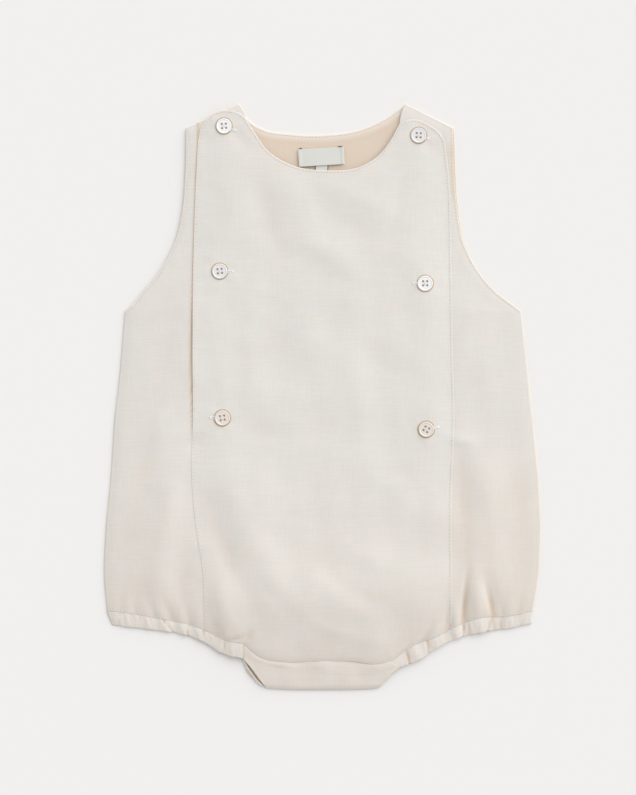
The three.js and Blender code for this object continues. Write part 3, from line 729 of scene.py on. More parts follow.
def ripple(x, y):
    """Fine unevenness of cloth that was smoothed by hand: sines of random direction and length, whose
    height is a small share of their length."""
    random = np.random.default_rng(RIPPLE_SEED)
    length = random.uniform(*RIPPLE_LENGTHS, RIPPLES)
    turn = random.uniform(0, np.pi, RIPPLES)
    phase = random.uniform(0, 2 * np.pi, RIPPLES)
    way = x[..., None] * np.cos(turn) + y[..., None] * np.sin(turn)
    return (length * np.sin(2 * np.pi * way / length + phase)).sum(-1) * RIPPLE_SLOPE


def side_room(x, y):
    """How far a point lies inside the garment's two sides."""
    left = x - np.interp(y, OUTER_SECTIONS["y"], OUTER_SECTIONS["left"])
    right = np.interp(y, OUTER_SECTIONS["y"], OUTER_SECTIONS["right"]) - x
    return np.minimum(left, right)


def rise(points):
    """How high the front stands off the back: its loft, drawn in along the hem, and its folds, faded
    out over a wide strip at each side. The logarithm keeps it above 0 without a kink."""
    x, y = np.moveaxis(points, -1, 0)
    curve = smooth_line(columns_of(LOFT, "y", "loft"), np.linspace(0, 1, 400))
    drawn = 1 - (1 - HEM_SHARE) * np.exp(-distance(points, [back_bottom]) / HEM_REACH)
    height = np.interp(y, curve[:, 0], curve[:, 1]) * drawn
    height += bells(x, y, FOLDS) + bells(x, y, GATHERS) + ripple(x, y)
    fade = soft_step(side_room(x, y), -4, np.where(x < 0, LEFT_FADE, RIGHT_FADE))
    return fade * LEAST_RISE * np.log1p(np.exp(height / LEAST_RISE))


def trough_painted_shade(points):
    """How much painted warm shade the cloth gets, from 0 to 1: in the troughs of the folds and gathers,
    and a little more towards the hem and the bottom of the front."""
    x, y = np.moveaxis(points, -1, 0)
    low = 0.05 * (1 - soft_step(y, -110, -20)) + 0.06 * np.exp(-distance(points, [back_bottom]) / 20)
    return low + np.clip(-0.06 * bells(x, y, FOLDS) - 0.17 * bells(x, y, GATHERS), 0, 1)


side_v = graded(FRONT_LENGTH, (UNDERARM_SHARE,))


def side_front(side):
    """A side front's grid of points, with its columns from left to right."""
    u = graded(SIDE_FRONT_WIDTH)
    bottom = hem_line(CASINGS[side], HEM_CORNERS[side], UNDERLAP_HEM[side])(u)
    outer = outer_edge(side, bottom[0], side_v, strip=1.0)
    low = np.vstack([bottom[-1], columns_of(UNDERLAP_LOW, side, "y")])
    high = columns_of(UNDERLAP_HIGH, side, "y")
    inner = joined(
        side_v,
        (UNDERARM_SHARE, lambda t: smooth_line(low, t)),
        (1 - UNDERARM_SHARE, lambda t: smooth_line(high, t)),
    )
    top = smooth_line([outer[-1], inner[-1]], u)
    grid = patch(bottom, top, outer, inner, u, side_v)
    return grid if side == "left" else grid[:, ::-1]


side_grids = {side: side_front(side) for side in ("left", "right")}
side_edges = {"left": side_grids["left"][:, 0], "right": side_grids["right"][:, -1]}


def side_height(points, side):
    """The middle of a side front. It comes down to the back at its side seam, and into its hem."""
    x, y = np.moveaxis(points, -1, 0)
    away = distance(points, [side_edges[side], side_grids[side][-1]])
    hem_away = distance(points, [side_grids[side][0]])
    seam = (SEAM_DROP[side] * bell(away, 4.0) + 0.3 * np.exp(-away / 0.4)) * (1 - soft_step(y, *UNDERARM))
    armhole = (turned_edge(away) - 0.3 * bell(away, 3.0)) * soft_step(y, *UNDERARM)
    return LAYER + SOLID / 2 + rise(points) + armhole - seam - 0.2 * bell(hem_away, 1.8)


CENTRE_SIDES = table("y left right", [
    (-120.0, -81.2, 87.8),
    (-84.0, -86.6, 87.3),
    (-45.0, -89.1, 88.4),
    (-18.0, -88.1, 89.3),
    (30.0, -88.2, 88.4),
    (90.0, -87.8, 87.5),
    (145.0, -86.1, 86.2),
    (173.5, -84.6, 83.2),
])
FLAP_GAPE = {"y": 30, "length": 38}  # where the left flap stands open most


def side_warmth(points, side):
    """Painted warm shade: in the hollows, in the narrow shade beside the flap of the centre front, along
    the hem, on the right shoulder strap and a little on the right leg."""
    x, y = np.moveaxis(points, -1, 0)
    flap = np.interp(y, CENTRE_SIDES["y"], CENTRE_SIDES[side])
    open_here = bell(y - FLAP_GAPE["y"], FLAP_GAPE["length"])
    beside = bell(x - flap, 0.75 + 0.5 * open_here) * soft_step(y, -30, -18)
    strength = {"left": 0.45 + 0.35 * open_here, "right": 0.05}[side]
    hem = 0.10 * bell(distance(points, [side_grids[side][0]]), 0.6)
    strap = 0.16 * soft_step(x, 80, 84) * (soft_step(y, 120, 145) - soft_step(y, 166, 178))
    low = {"left": 0.0, "right": 0.03}[side] * (1 - soft_step(y, -70, 0))
    return 0.02 + trough_painted_shade(points) + strength * beside + hem + strap + low


for side, grid in side_grids.items():
    height = side_height(grid, side)
    piece = panel(f"side_front_{side}_panel", grid, height, [OUTER, INNER, OUTER], side_warmth(grid, side))
    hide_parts(f"side_front_{side}")

# The centre front: a plastron with a round tab at each shoulder, turned in and topstitched at its edges.
# Its sides are free flaps that button over the side fronts. Below the flaps they are lapped and sewn
# down to the hem. Small folds run to the buttons, and the left flap stands off most.
CENTRE_HEM = {"left": -80.2, "right": 87.8}
CENTRE_TOP = table("x y", [
    (-84.6, 173.5),
    (-82.2, 184.0),
    (-74.8, 192.2),
    (-65.0, 194.9),
    (-55.4, 192.2),
    (-47.2, 181.2),
    (-36.0, 166.2),
    (-20.0, 157.1),
    (3.0, 153.8),
    (24.0, 155.8),
    (37.5, 163.6),
    (47.6, 176.6),
    (53.2, 185.9),
    (62.5, 188.4),
    (72.4, 184.8),
    (79.6, 179.3),
    (83.2, 173.5),
])
CENTRE_WIDTH = 175
CENTRE_LEG_SHARE = 0.16
FLAP_END = {"left": -26.5, "right": -28.5}
BUTTON_RADIUS = 5.25
BUTTONS = table("x y turn pearl white", [
    (-66.9, 183.9, 4, 1.0, 0.8),
    (65.1, 177.6, -2, 0.95, 0.0),
    (-69.7, 85.4, 6, 0.95, -0.1),
    (69.5, 77.1, 1, 1.0, 0.6),
    (-67.9, -14.1, 9, 0.25, 0.1),
    (70.2, -21.8, -29, 0.2, 0.1),
])
# Where a flap's edge stands off the side front: the middle and half length along y, and the lift.
FLAP_LIFTS = {
    "left": table("y length lift", [(38, 34, 0.55), (105, 40, 0.15), (160, 18, 0.15)]),
    "right": table("y length lift", [(160, 14, 0.2)]),
}


def pulled(x, y):
    """The dimple under each button, with a few short folds round it: a cosine of the angle, strongest
    9.5 mm from the button's middle."""
    dx = x[..., None] - BUTTONS["x"]
    dy = y[..., None] - BUTTONS["y"]
    far = np.hypot(dx, dy)
    angle = np.arctan2(dy, dx)
    starts = np.arange(len(BUTTONS)) * 1.3
    dimple = -0.30 * bell(far, 6.5)
    star = 0.10 * np.cos(5 * angle + starts) * bell(far - 9.5, 4.5)
    return (dimple + star).sum(-1)


def flap_lift(x, y, left_edge, right_edge):
    """How far each flap stands off, highest at its edge and almost gone 14 mm inside it."""
    total = np.zeros_like(x)
    for side, edge in (("left", left_edge), ("right", right_edge)):
        rows = FLAP_LIFTS[side]
        inside = np.abs(x - np.interp(y, edge[:, 1], edge[:, 0]))
        bump = (rows["lift"] * bell(y[..., None] - rows["y"], rows["length"])).sum(-1)
        total += bump * bell(inside, 7.0) * soft_step(y, FLAP_END[side], FLAP_END[side] + 8)
    return total


centre_u = graded(CENTRE_WIDTH, (CENTRE_LEG_SHARE, 1 - CENTRE_LEG_SHARE))
centre_v = graded(FRONT_LENGTH)
centre_bottom = lower_edge(centre_u, CENTRE_LEG_SHARE, CENTRE_HEM)
centre_top = smooth_line(columns_of(CENTRE_TOP, "x", "y"), centre_u)
centre_left = smooth_line(np.vstack([centre_bottom[0], columns_of(CENTRE_SIDES, "left", "y")]), centre_v)
centre_right = smooth_line(np.vstack([centre_bottom[-1], columns_of(CENTRE_SIDES, "right", "y")]), centre_v)
centre_grid = patch(centre_bottom, centre_top, centre_left, centre_right, centre_u, centre_v)
centre_turned = [centre_top, centre_left, centre_right]


def centre_height(points):
    """The middle of the centre front: the front's rise, the dimples of the buttons, the turned edges,
    the free flaps, and below them the lapped seams, where its sides are sewn down."""
    x, y = np.moveaxis(points, -1, 0)
    away = distance(points, centre_turned)
    side_away = distance(points, [centre_left, centre_right])
    hem_away = distance(points, [centre_bottom])
    gape = 0.35 + 0.3 * bell(y - FLAP_GAPE["y"], FLAP_GAPE["length"])
    free = np.where(x < 0, gape, 0.0) * soft_step(y, -31, -21)
    sewn_down = (1.15 - free) * bell(side_away, 11.0)
    height = 2 * LAYER + SOLID / 2 + rise(points) + pulled(x, y) + turned_edge(away) - sewn_down
    return height + flap_lift(x, y, centre_left, centre_right) - 0.3 * bell(hem_away, 1.8)


def on_front(points, above):
    """Flat points as points of space, some way above the upper face of the centre front."""
    return np.column_stack([points, centre_height(points) + CLOTH / 2 + above])


def centre_warmth(points):
    """Painted warm shade in the hollows, in the stitched valley inside the edges, along the hem and at the
    crotch.
    """
    valley = bell(distance(points, centre_turned) - EDGE_BAND, 0.5)
    hem = 0.12 * bell(distance(points, [centre_bottom]), 0.6)
    return trough_painted_shade(points) + 0.03 * valley + hem + 0.02 * (1 - soft_step(points[..., 1], -165, -95))


# The narrow shadow that each button casts all round on the cloth, painted as a warm ring in the front's
# linen.
BUTTON_SHADOW_RING = {"radius": BUTTON_RADIUS + 0.25, "width": 0.75}
button_shadow_rows = [(float(row["x"]), float(row["y"]), BUTTON_SHADOW_RING["radius"], BUTTON_SHADOW_RING["width"]) for row in BUTTONS]
FRONT = linen("linen_front", LINEN_PALE, LINEN_DEEP, LINEN_PAINTED_SHADE, button_shadow_rows)
centre = panel(
    "centre_front_panel",
    centre_grid,
    centre_height(centre_grid),
    [FRONT, INNER, OUTER],
    centre_warmth(centre_grid),
)
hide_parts("centre_front")

# The leg casings: the hem of each leg, folded into a channel with an elastic in it, front and back.
# The elastic draws the channel into small uneven puffs, which run on into the gathers of the panels,
# and the back casing lies under the front one. They are hems of the side fronts and of the back.
CASING_AROUND = 32
CASING_STEP = 0.7
CASING_HEIGHT = {"front": 1.1, "back": 1.4}
CASING_FALL = 0.6  # of a front casing's middle, from its seam to its lower edge
BACK_CASING_MIDDLE = 0.8
BACK_SHOWS = 0.3
LUMPS = 14
LUMP_SEED = 5
# Puffs of a casing and the creases between them: the place of each along x and its lean across the
# casing, its half width, and its height, which is below 0 in a crease.
PUFFS = table("x lean width height", [
    (-142, 1, 2.6, 0.24),
    (-137, 3, 1.2, -0.33),
    (-132, 1, 3.0, 0.32),
    (-126, -2, 1.3, -0.42),
    (-120, 0, 3.0, 0.35),
    (-115, 2, 1.1, -0.36),
    (-109, 1, 2.8, 0.28),
    (-104, -5, 1.2, -0.57),
    (-97, -1, 3.0, 0.35),
    (-91, 2, 1.2, -0.36),
    (-84, 0, 2.8, 0.28),
    (-79, -3, 1.1, -0.45),
    (-72, 0, 2.8, 0.28),
    (-66, 3, 1.2, -0.27),
    (-60, 0, 2.8, 0.24),
    (140, 0, 2.6, 0.28),
    (134, -2, 1.2, -0.39),
    (128, 0, 3.0, 0.35),
    (121, 2, 1.2, -0.33),
    (115, 4, 1.2, -0.57),
    (109, 1, 3.0, 0.42),
    (97, 3, 1.3, -0.69),
    (103, 0, 2.4, 0.28),
    (91, 0, 3.0, 0.35),
    (85, 2, 1.1, -0.42),
    (79, 0, 2.8, 0.35),
    (73, 3, 1.2, -0.57),
    (67, 0, 2.6, 0.32),
    (61, 3, 1.1, -0.51),
    (55, 0, 2.4, 0.21),
])


def hem_height(points, side):
    """The height of the front's middle along its hem: a side front's, then the centre front's."""
    corner = abs(CENTRE_HEM[side])
    centre_share = soft_step(-np.abs(points[..., 0]), -corner - 1.5, -corner + 1.5)
    return side_height(points, side) * (1 - centre_share) + centre_height(points) * centre_share


def lumps(x, across):
    """Fine crumples along a casing: sines 3 to 9 mm long, slanted across it by random leans."""
    random = np.random.default_rng(LUMP_SEED)
    length = random.uniform(3, 9, LUMPS)
    lean = random.uniform(-4, 4, LUMPS)
    phase = random.uniform(0, 6.28, LUMPS)
    way = x[..., None] + lean * across[..., None]
    return np.sin(2 * np.pi * way / length + phase).sum(-1) * 0.3


def ring_faces(stations, around):
    """The quads round a tube of rings of points, and the triangles that close its two ends on two more
    points, which follow those of the rings."""
    index = np.arange(stations * around).reshape(stations, around)
    after = np.roll(index, -1, axis=1)
    sides = np.stack([index[:-1], index[1:], after[1:], after[:-1]], -1).reshape(-1, 4)
    first = np.stack([index[0], after[0], np.full(around, index.size)], -1)
    last = np.stack([after[-1], index[-1], np.full(around, index.size + 1)], -1)
    return sides, first, last


def casing(name, side, rows, is_front):
    """A channel carried along the casing: a flattened ring that reaches from its upper seam (0 across)
    to its lower edge (1 across) and swells and shrinks with the puffs. A front casing's middle starts
    at the height of the front's hem and falls a little."""
    length = np.abs(rows["low_x"][-1] - rows["low_x"][0])
    shares = np.linspace(0, 1, int(length / CASING_STEP))
    low = smooth_line(columns_of(rows, "low_x", "low_y"), shares)
    high = smooth_line(columns_of(rows, "high_x", "high_y"), shares)
    out = unit(low - high)
    angle = np.linspace(0, 2 * np.pi, CASING_AROUND, endpoint=False)[None]
    across = 0.5 - 0.5 * np.sign(np.cos(angle)) * np.abs(np.cos(angle)) ** 0.85 + 0 * shares[:, None]
    up = 0.5 * np.sign(np.sin(angle)) * np.abs(np.sin(angle)) ** 0.62
    place = low[:, :1, None] - PUFFS["x"] + PUFFS["lean"] * (across[..., None] - 0.5)
    swell = (PUFFS["height"] * bell(place, PUFFS["width"])).sum(-1)
    swell += 0.26 * lumps(low[:, :1] + 0 * across, across)
    to_end = np.minimum(shares, 1 - shares)
    swell *= np.clip(to_end * 14, 0, 1)[:, None]
    ends = 1 - 0.45 * bell(to_end * length, 0.8)[:, None]
    reach = (0.5 * swell * across + (0 if is_front else BACK_SHOWS) * across)[..., None]
    tucked = across[..., None] * 1.05 - 0.05
    flat = high[:, None] + (low - high)[:, None] * tucked + out[:, None] * reach
    if is_front:
        seam = hem_height(high, side)[:, None]
        middle = seam + 0.1 - CASING_FALL * soft_step(across, 0, 1.1)
        height = (CASING_HEIGHT["front"] + 0.35 * swell) * (1 - 0.5 * bell(across, 0.4))
        z = middle + up * height * ends + 0.2 * swell * np.clip(np.sin(angle), 0, 1)
        z = np.maximum(z, 0.1)
    else:
        z = BACK_CASING_MIDDLE - 0.35 * across**2 + up * (CASING_HEIGHT["back"] - 0.6 * across**2) * ends
    ring = np.dstack([flat, z])
    parts = [part if side == "right" else part[:, ::-1] for part in ring_faces(*ring.shape[:2])]
    points = np.vstack([ring.reshape(-1, 3), ring[[0, -1]].mean(1)])
    # Painted warm shade: at the casing's crotch end, in its creases, and a little all over.
    end_shade = 0.5 * bell((1 - shares) * length, 0.7)[:, None]
    crease_painted_shade = 0.14 * np.clip(-swell, 0, 1) + 0.8 * np.clip(-swell - 0.35, 0, 1)
    warmth = np.append(np.clip(0.07 + end_shade + crease_painted_shade, 0, 1), [0.5, 0.5])
    return new_mesh(name, points, parts, [OUTER] * 3, "linen", warmth=warmth)


for side, rows in CASINGS.items():
    for face in ("back", "front"):
        piece = casing(f"{face}_leg_casing_{side}", side, rows, face == "front")
        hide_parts(f"casing_{face}_{side}")
    flat = (0.098, 0.362)

# The crotch strip: a band of the same linen, seamed to the centre front, folded under at the bottom
# and seamed to the back. It gapes a little at the left, where its shaded inner face shows.
CROTCH_ROWS = table("left_x left_y right_x right_y dip z", [
    (-54.2, -176.6, 51.6, -183.4, 6.2, 3.0),
    (-48.2, -184.2, 47.3, -187.4, 2.4, 2.8),
    (-43.4, -190.8, 43.0, -192.0, 1.4, 2.45),
    (-39.9, -195.4, 39.9, -195.5, 1.4, 1.85),
    (-38.6, -197.2, 38.4, -197.2, 1.3, 0.95),
    (-40.8, -195.8, 39.0, -195.8, 1.4, 0.45),
    (-46.8, -191.4, 42.4, -192.0, 1.4, 0.42),
    (-52.2, -184.4, 50.6, -184.6, 0.8, 0.42),
])
STRIP_WIDTH = 104
STRIP_U = graded(STRIP_WIDTH)
STRIP_V = np.linspace(0, 1, 90)
FRONT_LEAF = (1.4, 3.0)  # the heights between which the strip turns into its front leaf


def strip_row(row):
    """One row across the strip: straight between its ends, but for its dip."""
    x = row["left_x"] + (row["right_x"] - row["left_x"]) * STRIP_U
    y = row["left_y"] + (row["right_y"] - row["left_y"]) * STRIP_U
    y = y - row["dip"] * (1 - (2 * STRIP_U - 1) ** 4)
    return np.stack([x, y, np.full_like(x, row["z"])], -1)


crotch_seam = smooth_line(crotch_points, STRIP_U)
seam_height = centre_height(crotch_seam)
front_seam = [
    np.column_stack([crotch_seam + (0, 0.9), seam_height - 0.4]),
    np.column_stack([crotch_seam - (0, 0.5), seam_height - 0.15]),
]
back_seam = np.column_stack([crotch_seam - (0, 0.35), np.full(len(STRIP_U), BACK_MIDDLE)])
strip = smooth_line([*front_seam, *[strip_row(row) for row in CROTCH_ROWS], back_seam], STRIP_V)
front_leaf = soft_step(strip[..., 2], *FRONT_LEAF)
strip[..., 2] += front_leaf * 0.8 * ripple(strip[..., 0] * 1.6 + 90, strip[..., 1] * 1.6)
strip = strip[::-1]
strip_edges = distance(strip[..., :2], [strip[:, 0, :2], strip[:, -1, :2]])
# Painted warm shade on the low back leaf, which lies in the shade under the front leaf.
strip_warmth = 0.12 + 0.6 * (1 - soft_step(strip[..., 2], 0.44, 0.9))
strip_finishes = [OUTER, INNER, OUTER]
crotch_strip = cloth_wall("crotch_strip_band", strip, thickness(strip_edges), strip_finishes, strip_warmth)
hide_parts("crotch_strip")

# The turned edge of the strip's back leaf stands up a little to the left of the front leaf.
LEAF_EDGE = table("x y", [
    (-55.2, -176.8),
    (-52.4, -183.2),
    (-48.6, -188.9),
    (-44.9, -193.6),
    (-41.4, -196.6),
])
LEAF_WIDTH = 1.5
LEAF_CLOTH = 0.5
LEAF_MIDDLE = 0.75
LEAF_RISE = 1.7
leaf_line = smooth_line(columns_of(LEAF_EDGE, "x", "y"), np.linspace(0, 1, 60))
leaf_side = left_of(unit(np.gradient(leaf_line, axis=0)))
leaf_across = np.linspace(0, 1, 13)
leaf_grid = leaf_line[:, None] + leaf_side[:, None] * leaf_across[None, :, None] * LEAF_WIDTH
leaf_rise = LEAF_RISE * np.sin(np.pi * np.linspace(0.08, 0.92, 60))[:, None] * leaf_across**0.7
leaf_height = LEAF_MIDDLE + leaf_rise
leaf_edge = panel("crotch_strip_leaf_edge", leaf_grid, leaf_height, [OUTER] * 3, 0.0, LEAF_CLOTH)

# The labels at the back neck: a bare woven label, sewn down at both ends, and a small tag under it.
# Both are smooth, tightly woven tape in a cool off-white. The label bows up a little at its free edge.
LABEL = {"width": 31.2, "height": 11.8, "x": -0.8, "y": 163.2, "turn": np.radians(3.6)}
TAG = {"width": 8.6, "height": 12.5, "x": -0.6, "y": 152.4, "turn": 0.0}
LABEL_COLOUR = (0.752, 0.755, 0.715, 1)
LABEL_SHADE = (0.690, 0.692, 0.650, 1)
LABEL_Z = 1.5
LABEL_RISE = 0.55  # of its middle over the tag, and of its bow
LABEL_END = 13.6  # from its middle to where its ends are folded in
LABEL_FOLD = 0.22
TAPE_WALL = {"label": 0.4, "tag": 0.35}
TAG_WHITE = (0.86, 0.85, 0.82, 1)


def tape(name, size, finish, height, wall):
    """A strip of tape about (x, y), turned in its plane. height(along, across) is that of its middle."""
    u = graded(size["width"]) - 0.5
    v = graded(size["height"]) - 0.5
    along, across = np.meshgrid(u * size["width"], v * size["height"])
    cos, sin = np.cos(size["turn"]), np.sin(size["turn"])
    x = size["x"] + along * cos - across * sin
    y = size["y"] + along * sin + across * cos
    middle = np.dstack([x, y, height(along, across)])
    edge = np.minimum(size["width"] / 2 - np.abs(along), size["height"] / 2 - np.abs(across))
    return cloth_wall(name, middle, thickness(edge, wall), [finish] * 3, slot="woven_label")


label_weave = Finish("woven_tape", roughness=0.62, specular_ior_level=0.3, sheen_weight=0.1)
ribs = label_weave.noise(label_weave.place() * (2600.0, 500.0, 500.0))
label_weave.colour(ribs, LABEL_COLOUR, LABEL_SHADE)
label_weave.relief(0.3, 0.0001, ribs)

tag_weave = Finish("printed_tape", base_color=TAG_WHITE, roughness=0.6)
tag_ribs = tag_weave.noise(tag_weave.place() * (600.0, 2600.0, 600.0))
tag_weave.colour(tag_ribs, TAG_WHITE, LABEL_COLOUR)


def label_height(along, across):
    """The middle of the label: bowed up along its lower edge, and thicker where its ends are folded."""
    bow = LABEL_RISE * (1 - (along / (LABEL["width"] / 2)) ** 2) * (0.5 - across / LABEL["height"])
    return LABEL_Z + LABEL_RISE + bow + LABEL_FOLD * (np.abs(along) > LABEL_END)


tag = tape("size_tag_tape", TAG, tag_weave, lambda along, across: LABEL_Z + 0.02 * across, TAPE_WALL["tag"])
label = tape("neck_label_tape", LABEL, label_weave, label_height, TAPE_WALL["label"])
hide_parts("size_tag")
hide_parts("neck_label")

# The stitching: cream thread in machine stitches with needle holes between them, inside the edges of
# the centre front, the armholes and the back neck. The needle holes are small brown marks that paint the
# shade in them. The rows over the casings show no needle holes, and a short bar closes the end of each flap.
CASING_ROW = 1.0  # from a casing's seam up to the row over it
STITCH = {"length": 1.6, "width": 0.42, "height": 0.26}
NEEDLE_MARK = {"length": 0.70, "width": 0.42, "height": 0.14}
STITCH_PITCH = 2.4
STITCH_LIFT = 0.04
MARK_LIFT = 0.05
STITCH_STATIONS = 7
STITCH_AROUND = 6
THREAD_COLOUR = (0.90, 0.865, 0.82, 1)
THREAD = Finish("sewing_thread", base_color=THREAD_COLOUR, roughness=0.7, sheen_weight=0.1)
# Painted shade: the brown of the needle holes between the stitches.
NEEDLE_HOLE_SHADE = Finish("needle_hole_shade", base_color=(0.66, 0.56, 0.45, 1), roughness=0.95)
strands = THREAD.noise(THREAD.place() * 5000.0, detail=1.0)
THREAD.colour(strands, THREAD_COLOUR, LINEN_DEEP)


def spaced(line, pitch):
    """Points at even distances along a line, and the way it runs at each."""
    steps = np.linalg.norm(np.diff(line, axis=0), axis=-1)
    far = np.concatenate([[0], np.cumsum(steps)])
    at = np.arange(pitch / 2, far[-1], pitch)

    def point(way):
        return np.stack([np.interp(way, far, line[:, axis]) for axis in range(2)], -1)

    return point(at), unit(point(at + 0.3) - point(at - 0.3))


def inset(line, by):
    """A line moved to its left by some millimetres."""
    return line + by * left_of(unit(np.gradient(line, axis=0)))


def stitches(centres, ways, length, width, height):
    """Stitches as closed spindles: rings of six points, whose size follows a half circle along each
    stitch, so that both ends sink into the cloth. Centres are 3-D points, and ways are flat."""
    station = np.linspace(-1, 1, STITCH_STATIONS)[:, None]
    size = np.sqrt(np.maximum(1 - station**2, 0.02))
    angle = np.linspace(0, 2 * np.pi, STITCH_AROUND, endpoint=False)
    along = (station + 0 * angle).ravel() * length / 2
    across = (size * np.cos(angle)).ravel() * width / 2
    up = (size * np.sin(angle) * height / 2 - station**2 * height * 0.45).ravel()
    flat = centres[:, None, :2] + along[:, None] * ways[:, None] + across[:, None] * left_of(ways)[:, None]
    points = np.concatenate([flat, (centres[:, None, 2] + up)[..., None]], -1)
    index = np.arange(along.size).reshape(STITCH_STATIONS, STITCH_AROUND)
    after = np.roll(index, -1, axis=1)
    sides = np.stack([index[:-1], after[:-1], after[1:], index[1:]], -1).reshape(-1, 4)
    halves = np.array([[0, 1, 2, 3], [0, 3, 4, 5]])
    one = np.vstack([sides, index[0][halves[:, ::-1]], index[-1][halves]])
    faces = (one[None] + along.size * np.arange(len(centres))[:, None, None]).reshape(-1, 4)
    return points.reshape(-1, 3), faces


def stacked(parts):
    """The points of several meshes as one array, and the faces of each, counted on from those before."""
    offsets = np.cumsum([0] + [len(points) for points, _ in parts[:-1]])
    points = np.vstack([points for points, _ in parts])
    return points, [faces + offset for (_, faces), offset in zip(parts, offsets)]


def sewn(name, rows, finishes, slot="linen"):
    """One mesh of stitches. rows holds the rows of stitches of each finish."""
    parts = []
    for groups in rows:
        points, faces = stacked([stitches(*group) for group in groups])
        parts.append((points, np.vstack(faces)))
    return new_mesh(name, *stacked(parts), finishes, slot)


def machine_row(line, height):
    """A row of machine stitches on a line, and the needle holes between them as dark marks of painted
    shade, at the heights that height(points) gives."""
    points, ways = spaced(line, STITCH_PITCH)
    between = points + ways * STITCH_PITCH / 2
    thread = (np.column_stack([points, height(points) + STITCH_LIFT]), ways, *STITCH.values())
    holes = (np.column_stack([between, height(between) + MARK_LIFT]), ways, *NEEDLE_MARK.values())
    return thread, holes


def machine_sewn(name, lines, height, holes=True):
    """Rows of machine stitches along lines, as one piece, with or without needle holes."""
    threads, needle_holes = zip(*[machine_row(line, height) for line in lines])
    if holes:
        return sewn(name, [threads, needle_holes], [THREAD, NEEDLE_HOLE_SHADE])
    return sewn(name, [threads], [THREAD])


machine_sewn(
    "centre_front_stitching",
    [inset(centre_left, -EDGE_BAND), inset(centre_right, EDGE_BAND), inset(centre_top, -EDGE_BAND)],
    lambda points: centre_height(points) + CLOTH / 2,
)
for side, turn in (("left", -1), ("right", 1)):
    machine_sewn(
        f"armhole_stitching_{side}",
        [inset(side_edges[side][side_v >= UNDERARM_SHARE], turn * EDGE_BAND)],
        lambda points: side_height(points, side) + CLOTH / 2,
    )
neck_line = inset(smooth_line(neck_points, np.linspace(0, 1, 200)), -EDGE_BAND)
machine_sewn("back_neck_stitching", [neck_line], lambda points: back_height(points) + BACK_CLOTH / 2)
for side, rows in CASINGS.items():
    upper = smooth_line(columns_of(rows, "high_x", "high_y"), np.linspace(0.02, 0.98, 160))
    machine_sewn(
        f"casing_stitching_{side}",
        [upper + (0, CASING_ROW)],
        lambda points: hem_height(points, side) + CLOTH / 2,
        holes=False,
    )
FLAP_BARS = [np.array([(-87.2, -23.6), (-80.6, -24.2)]), np.array([(85.9, -28.2), (88.2, -29.8)])]
machine_sewn("flap_end_stitching", FLAP_BARS, lambda points: centre_height(points) + CLOTH / 2)

# The thread that holds the label: a few dark stitches over its upper corners. The same dark finish
# draws two lines along the sides of the size tag, a painted shadow beside its edges.
dark_thread_and_shade = Finish("dark_thread_and_shade", base_color=(0.13, 0.11, 0.09, 1), roughness=0.8)
TACK_HEIGHT = 0.3
TACKS = table("x y z turn length width", [
    (-14.9, 168.9, 2.75, 2, 2.8, 0.7),
    (11.9, 170.2, 2.75, 2, 3.6, 0.7),
    (-4.8, 155.6, 1.85, 90, 4.8, 0.5),
    (3.6, 155.6, 1.85, 90, 4.8, 0.5),
])


def heading(degrees):
    """The flat direction at an angle from the x axis."""
    return np.array([np.cos(np.radians(degrees)), np.sin(np.radians(degrees))])


tack_rows = []
for row in TACKS:
    at = columns_of(row, "x", "y", "z")[None]
    tack_rows.append((at, heading(row["turn"])[None], row["length"], row["width"], TACK_HEIGHT))
sewn("label_sewing", [tack_rows], [dark_thread_and_shade], "woven_label")

# The buttons: six four-hole shell buttons, turned with a raised rim and a dished middle.
# The upper four are whiter and pearlier, and the two low ones are nearer to the cloth's colour.
# Each is sewn on through its holes with crossed thread, and its holes are painted brown for the shade in
# them.
BUTTON = {"height": 1.5, "dish": 0.22, "under": 0.25, "pit": 0.7, "hole": 0.74, "spread": 1.36, "sunk": 0.1}
BUTTON_AROUND = 80
RIM_WIDTH = 0.5
CROSS_THREAD = {"length": 2 * np.sqrt(2) * BUTTON["spread"] + 0.4, "width": 0.5, "height": 0.36}
BUTTON_NAMES = ["top_left", "top_right", "middle_left", "middle_right", "low_left", "low_right"]
PEARL = (0.930, 0.950, 0.965, 1)
PEARL_PINK = (0.800, 0.785, 0.820, 1)
PEARL_GREEN = (0.750, 0.800, 0.815, 1)
SHELL_BEIGE = (0.800, 0.735, 0.660, 1)
# Painted shade: the brown seen in the button holes and in the buttonhole cuts.
HOLE_PAINTED_SHADE = (0.480, 0.230, 0.085, 1)


def shell(name, pearl, white):
    """Polished shell: white that drifts between pink and green, and painted brown shade in the four holes.
    """
    finish = Finish(name, roughness=0.2, coat_weight=0.35, coat_roughness=0.08)
    place = finish.place()
    drift = finish.noise(place * 420.0)
    veins = finish.noise(place * (900.0, 260.0, 500.0), detail=3.0)
    play = finish.colour_mix(drift, PEARL_PINK, PEARL_GREEN)
    face = finish.colour_mix(veins * 0.7 + white, play, PEARL)
    toned = finish.colour_mix(1.0 - pearl, face, SHELL_BEIGE)
    finish.colour(finish.field("hole"), toned, HOLE_PAINTED_SHADE)
    return finish


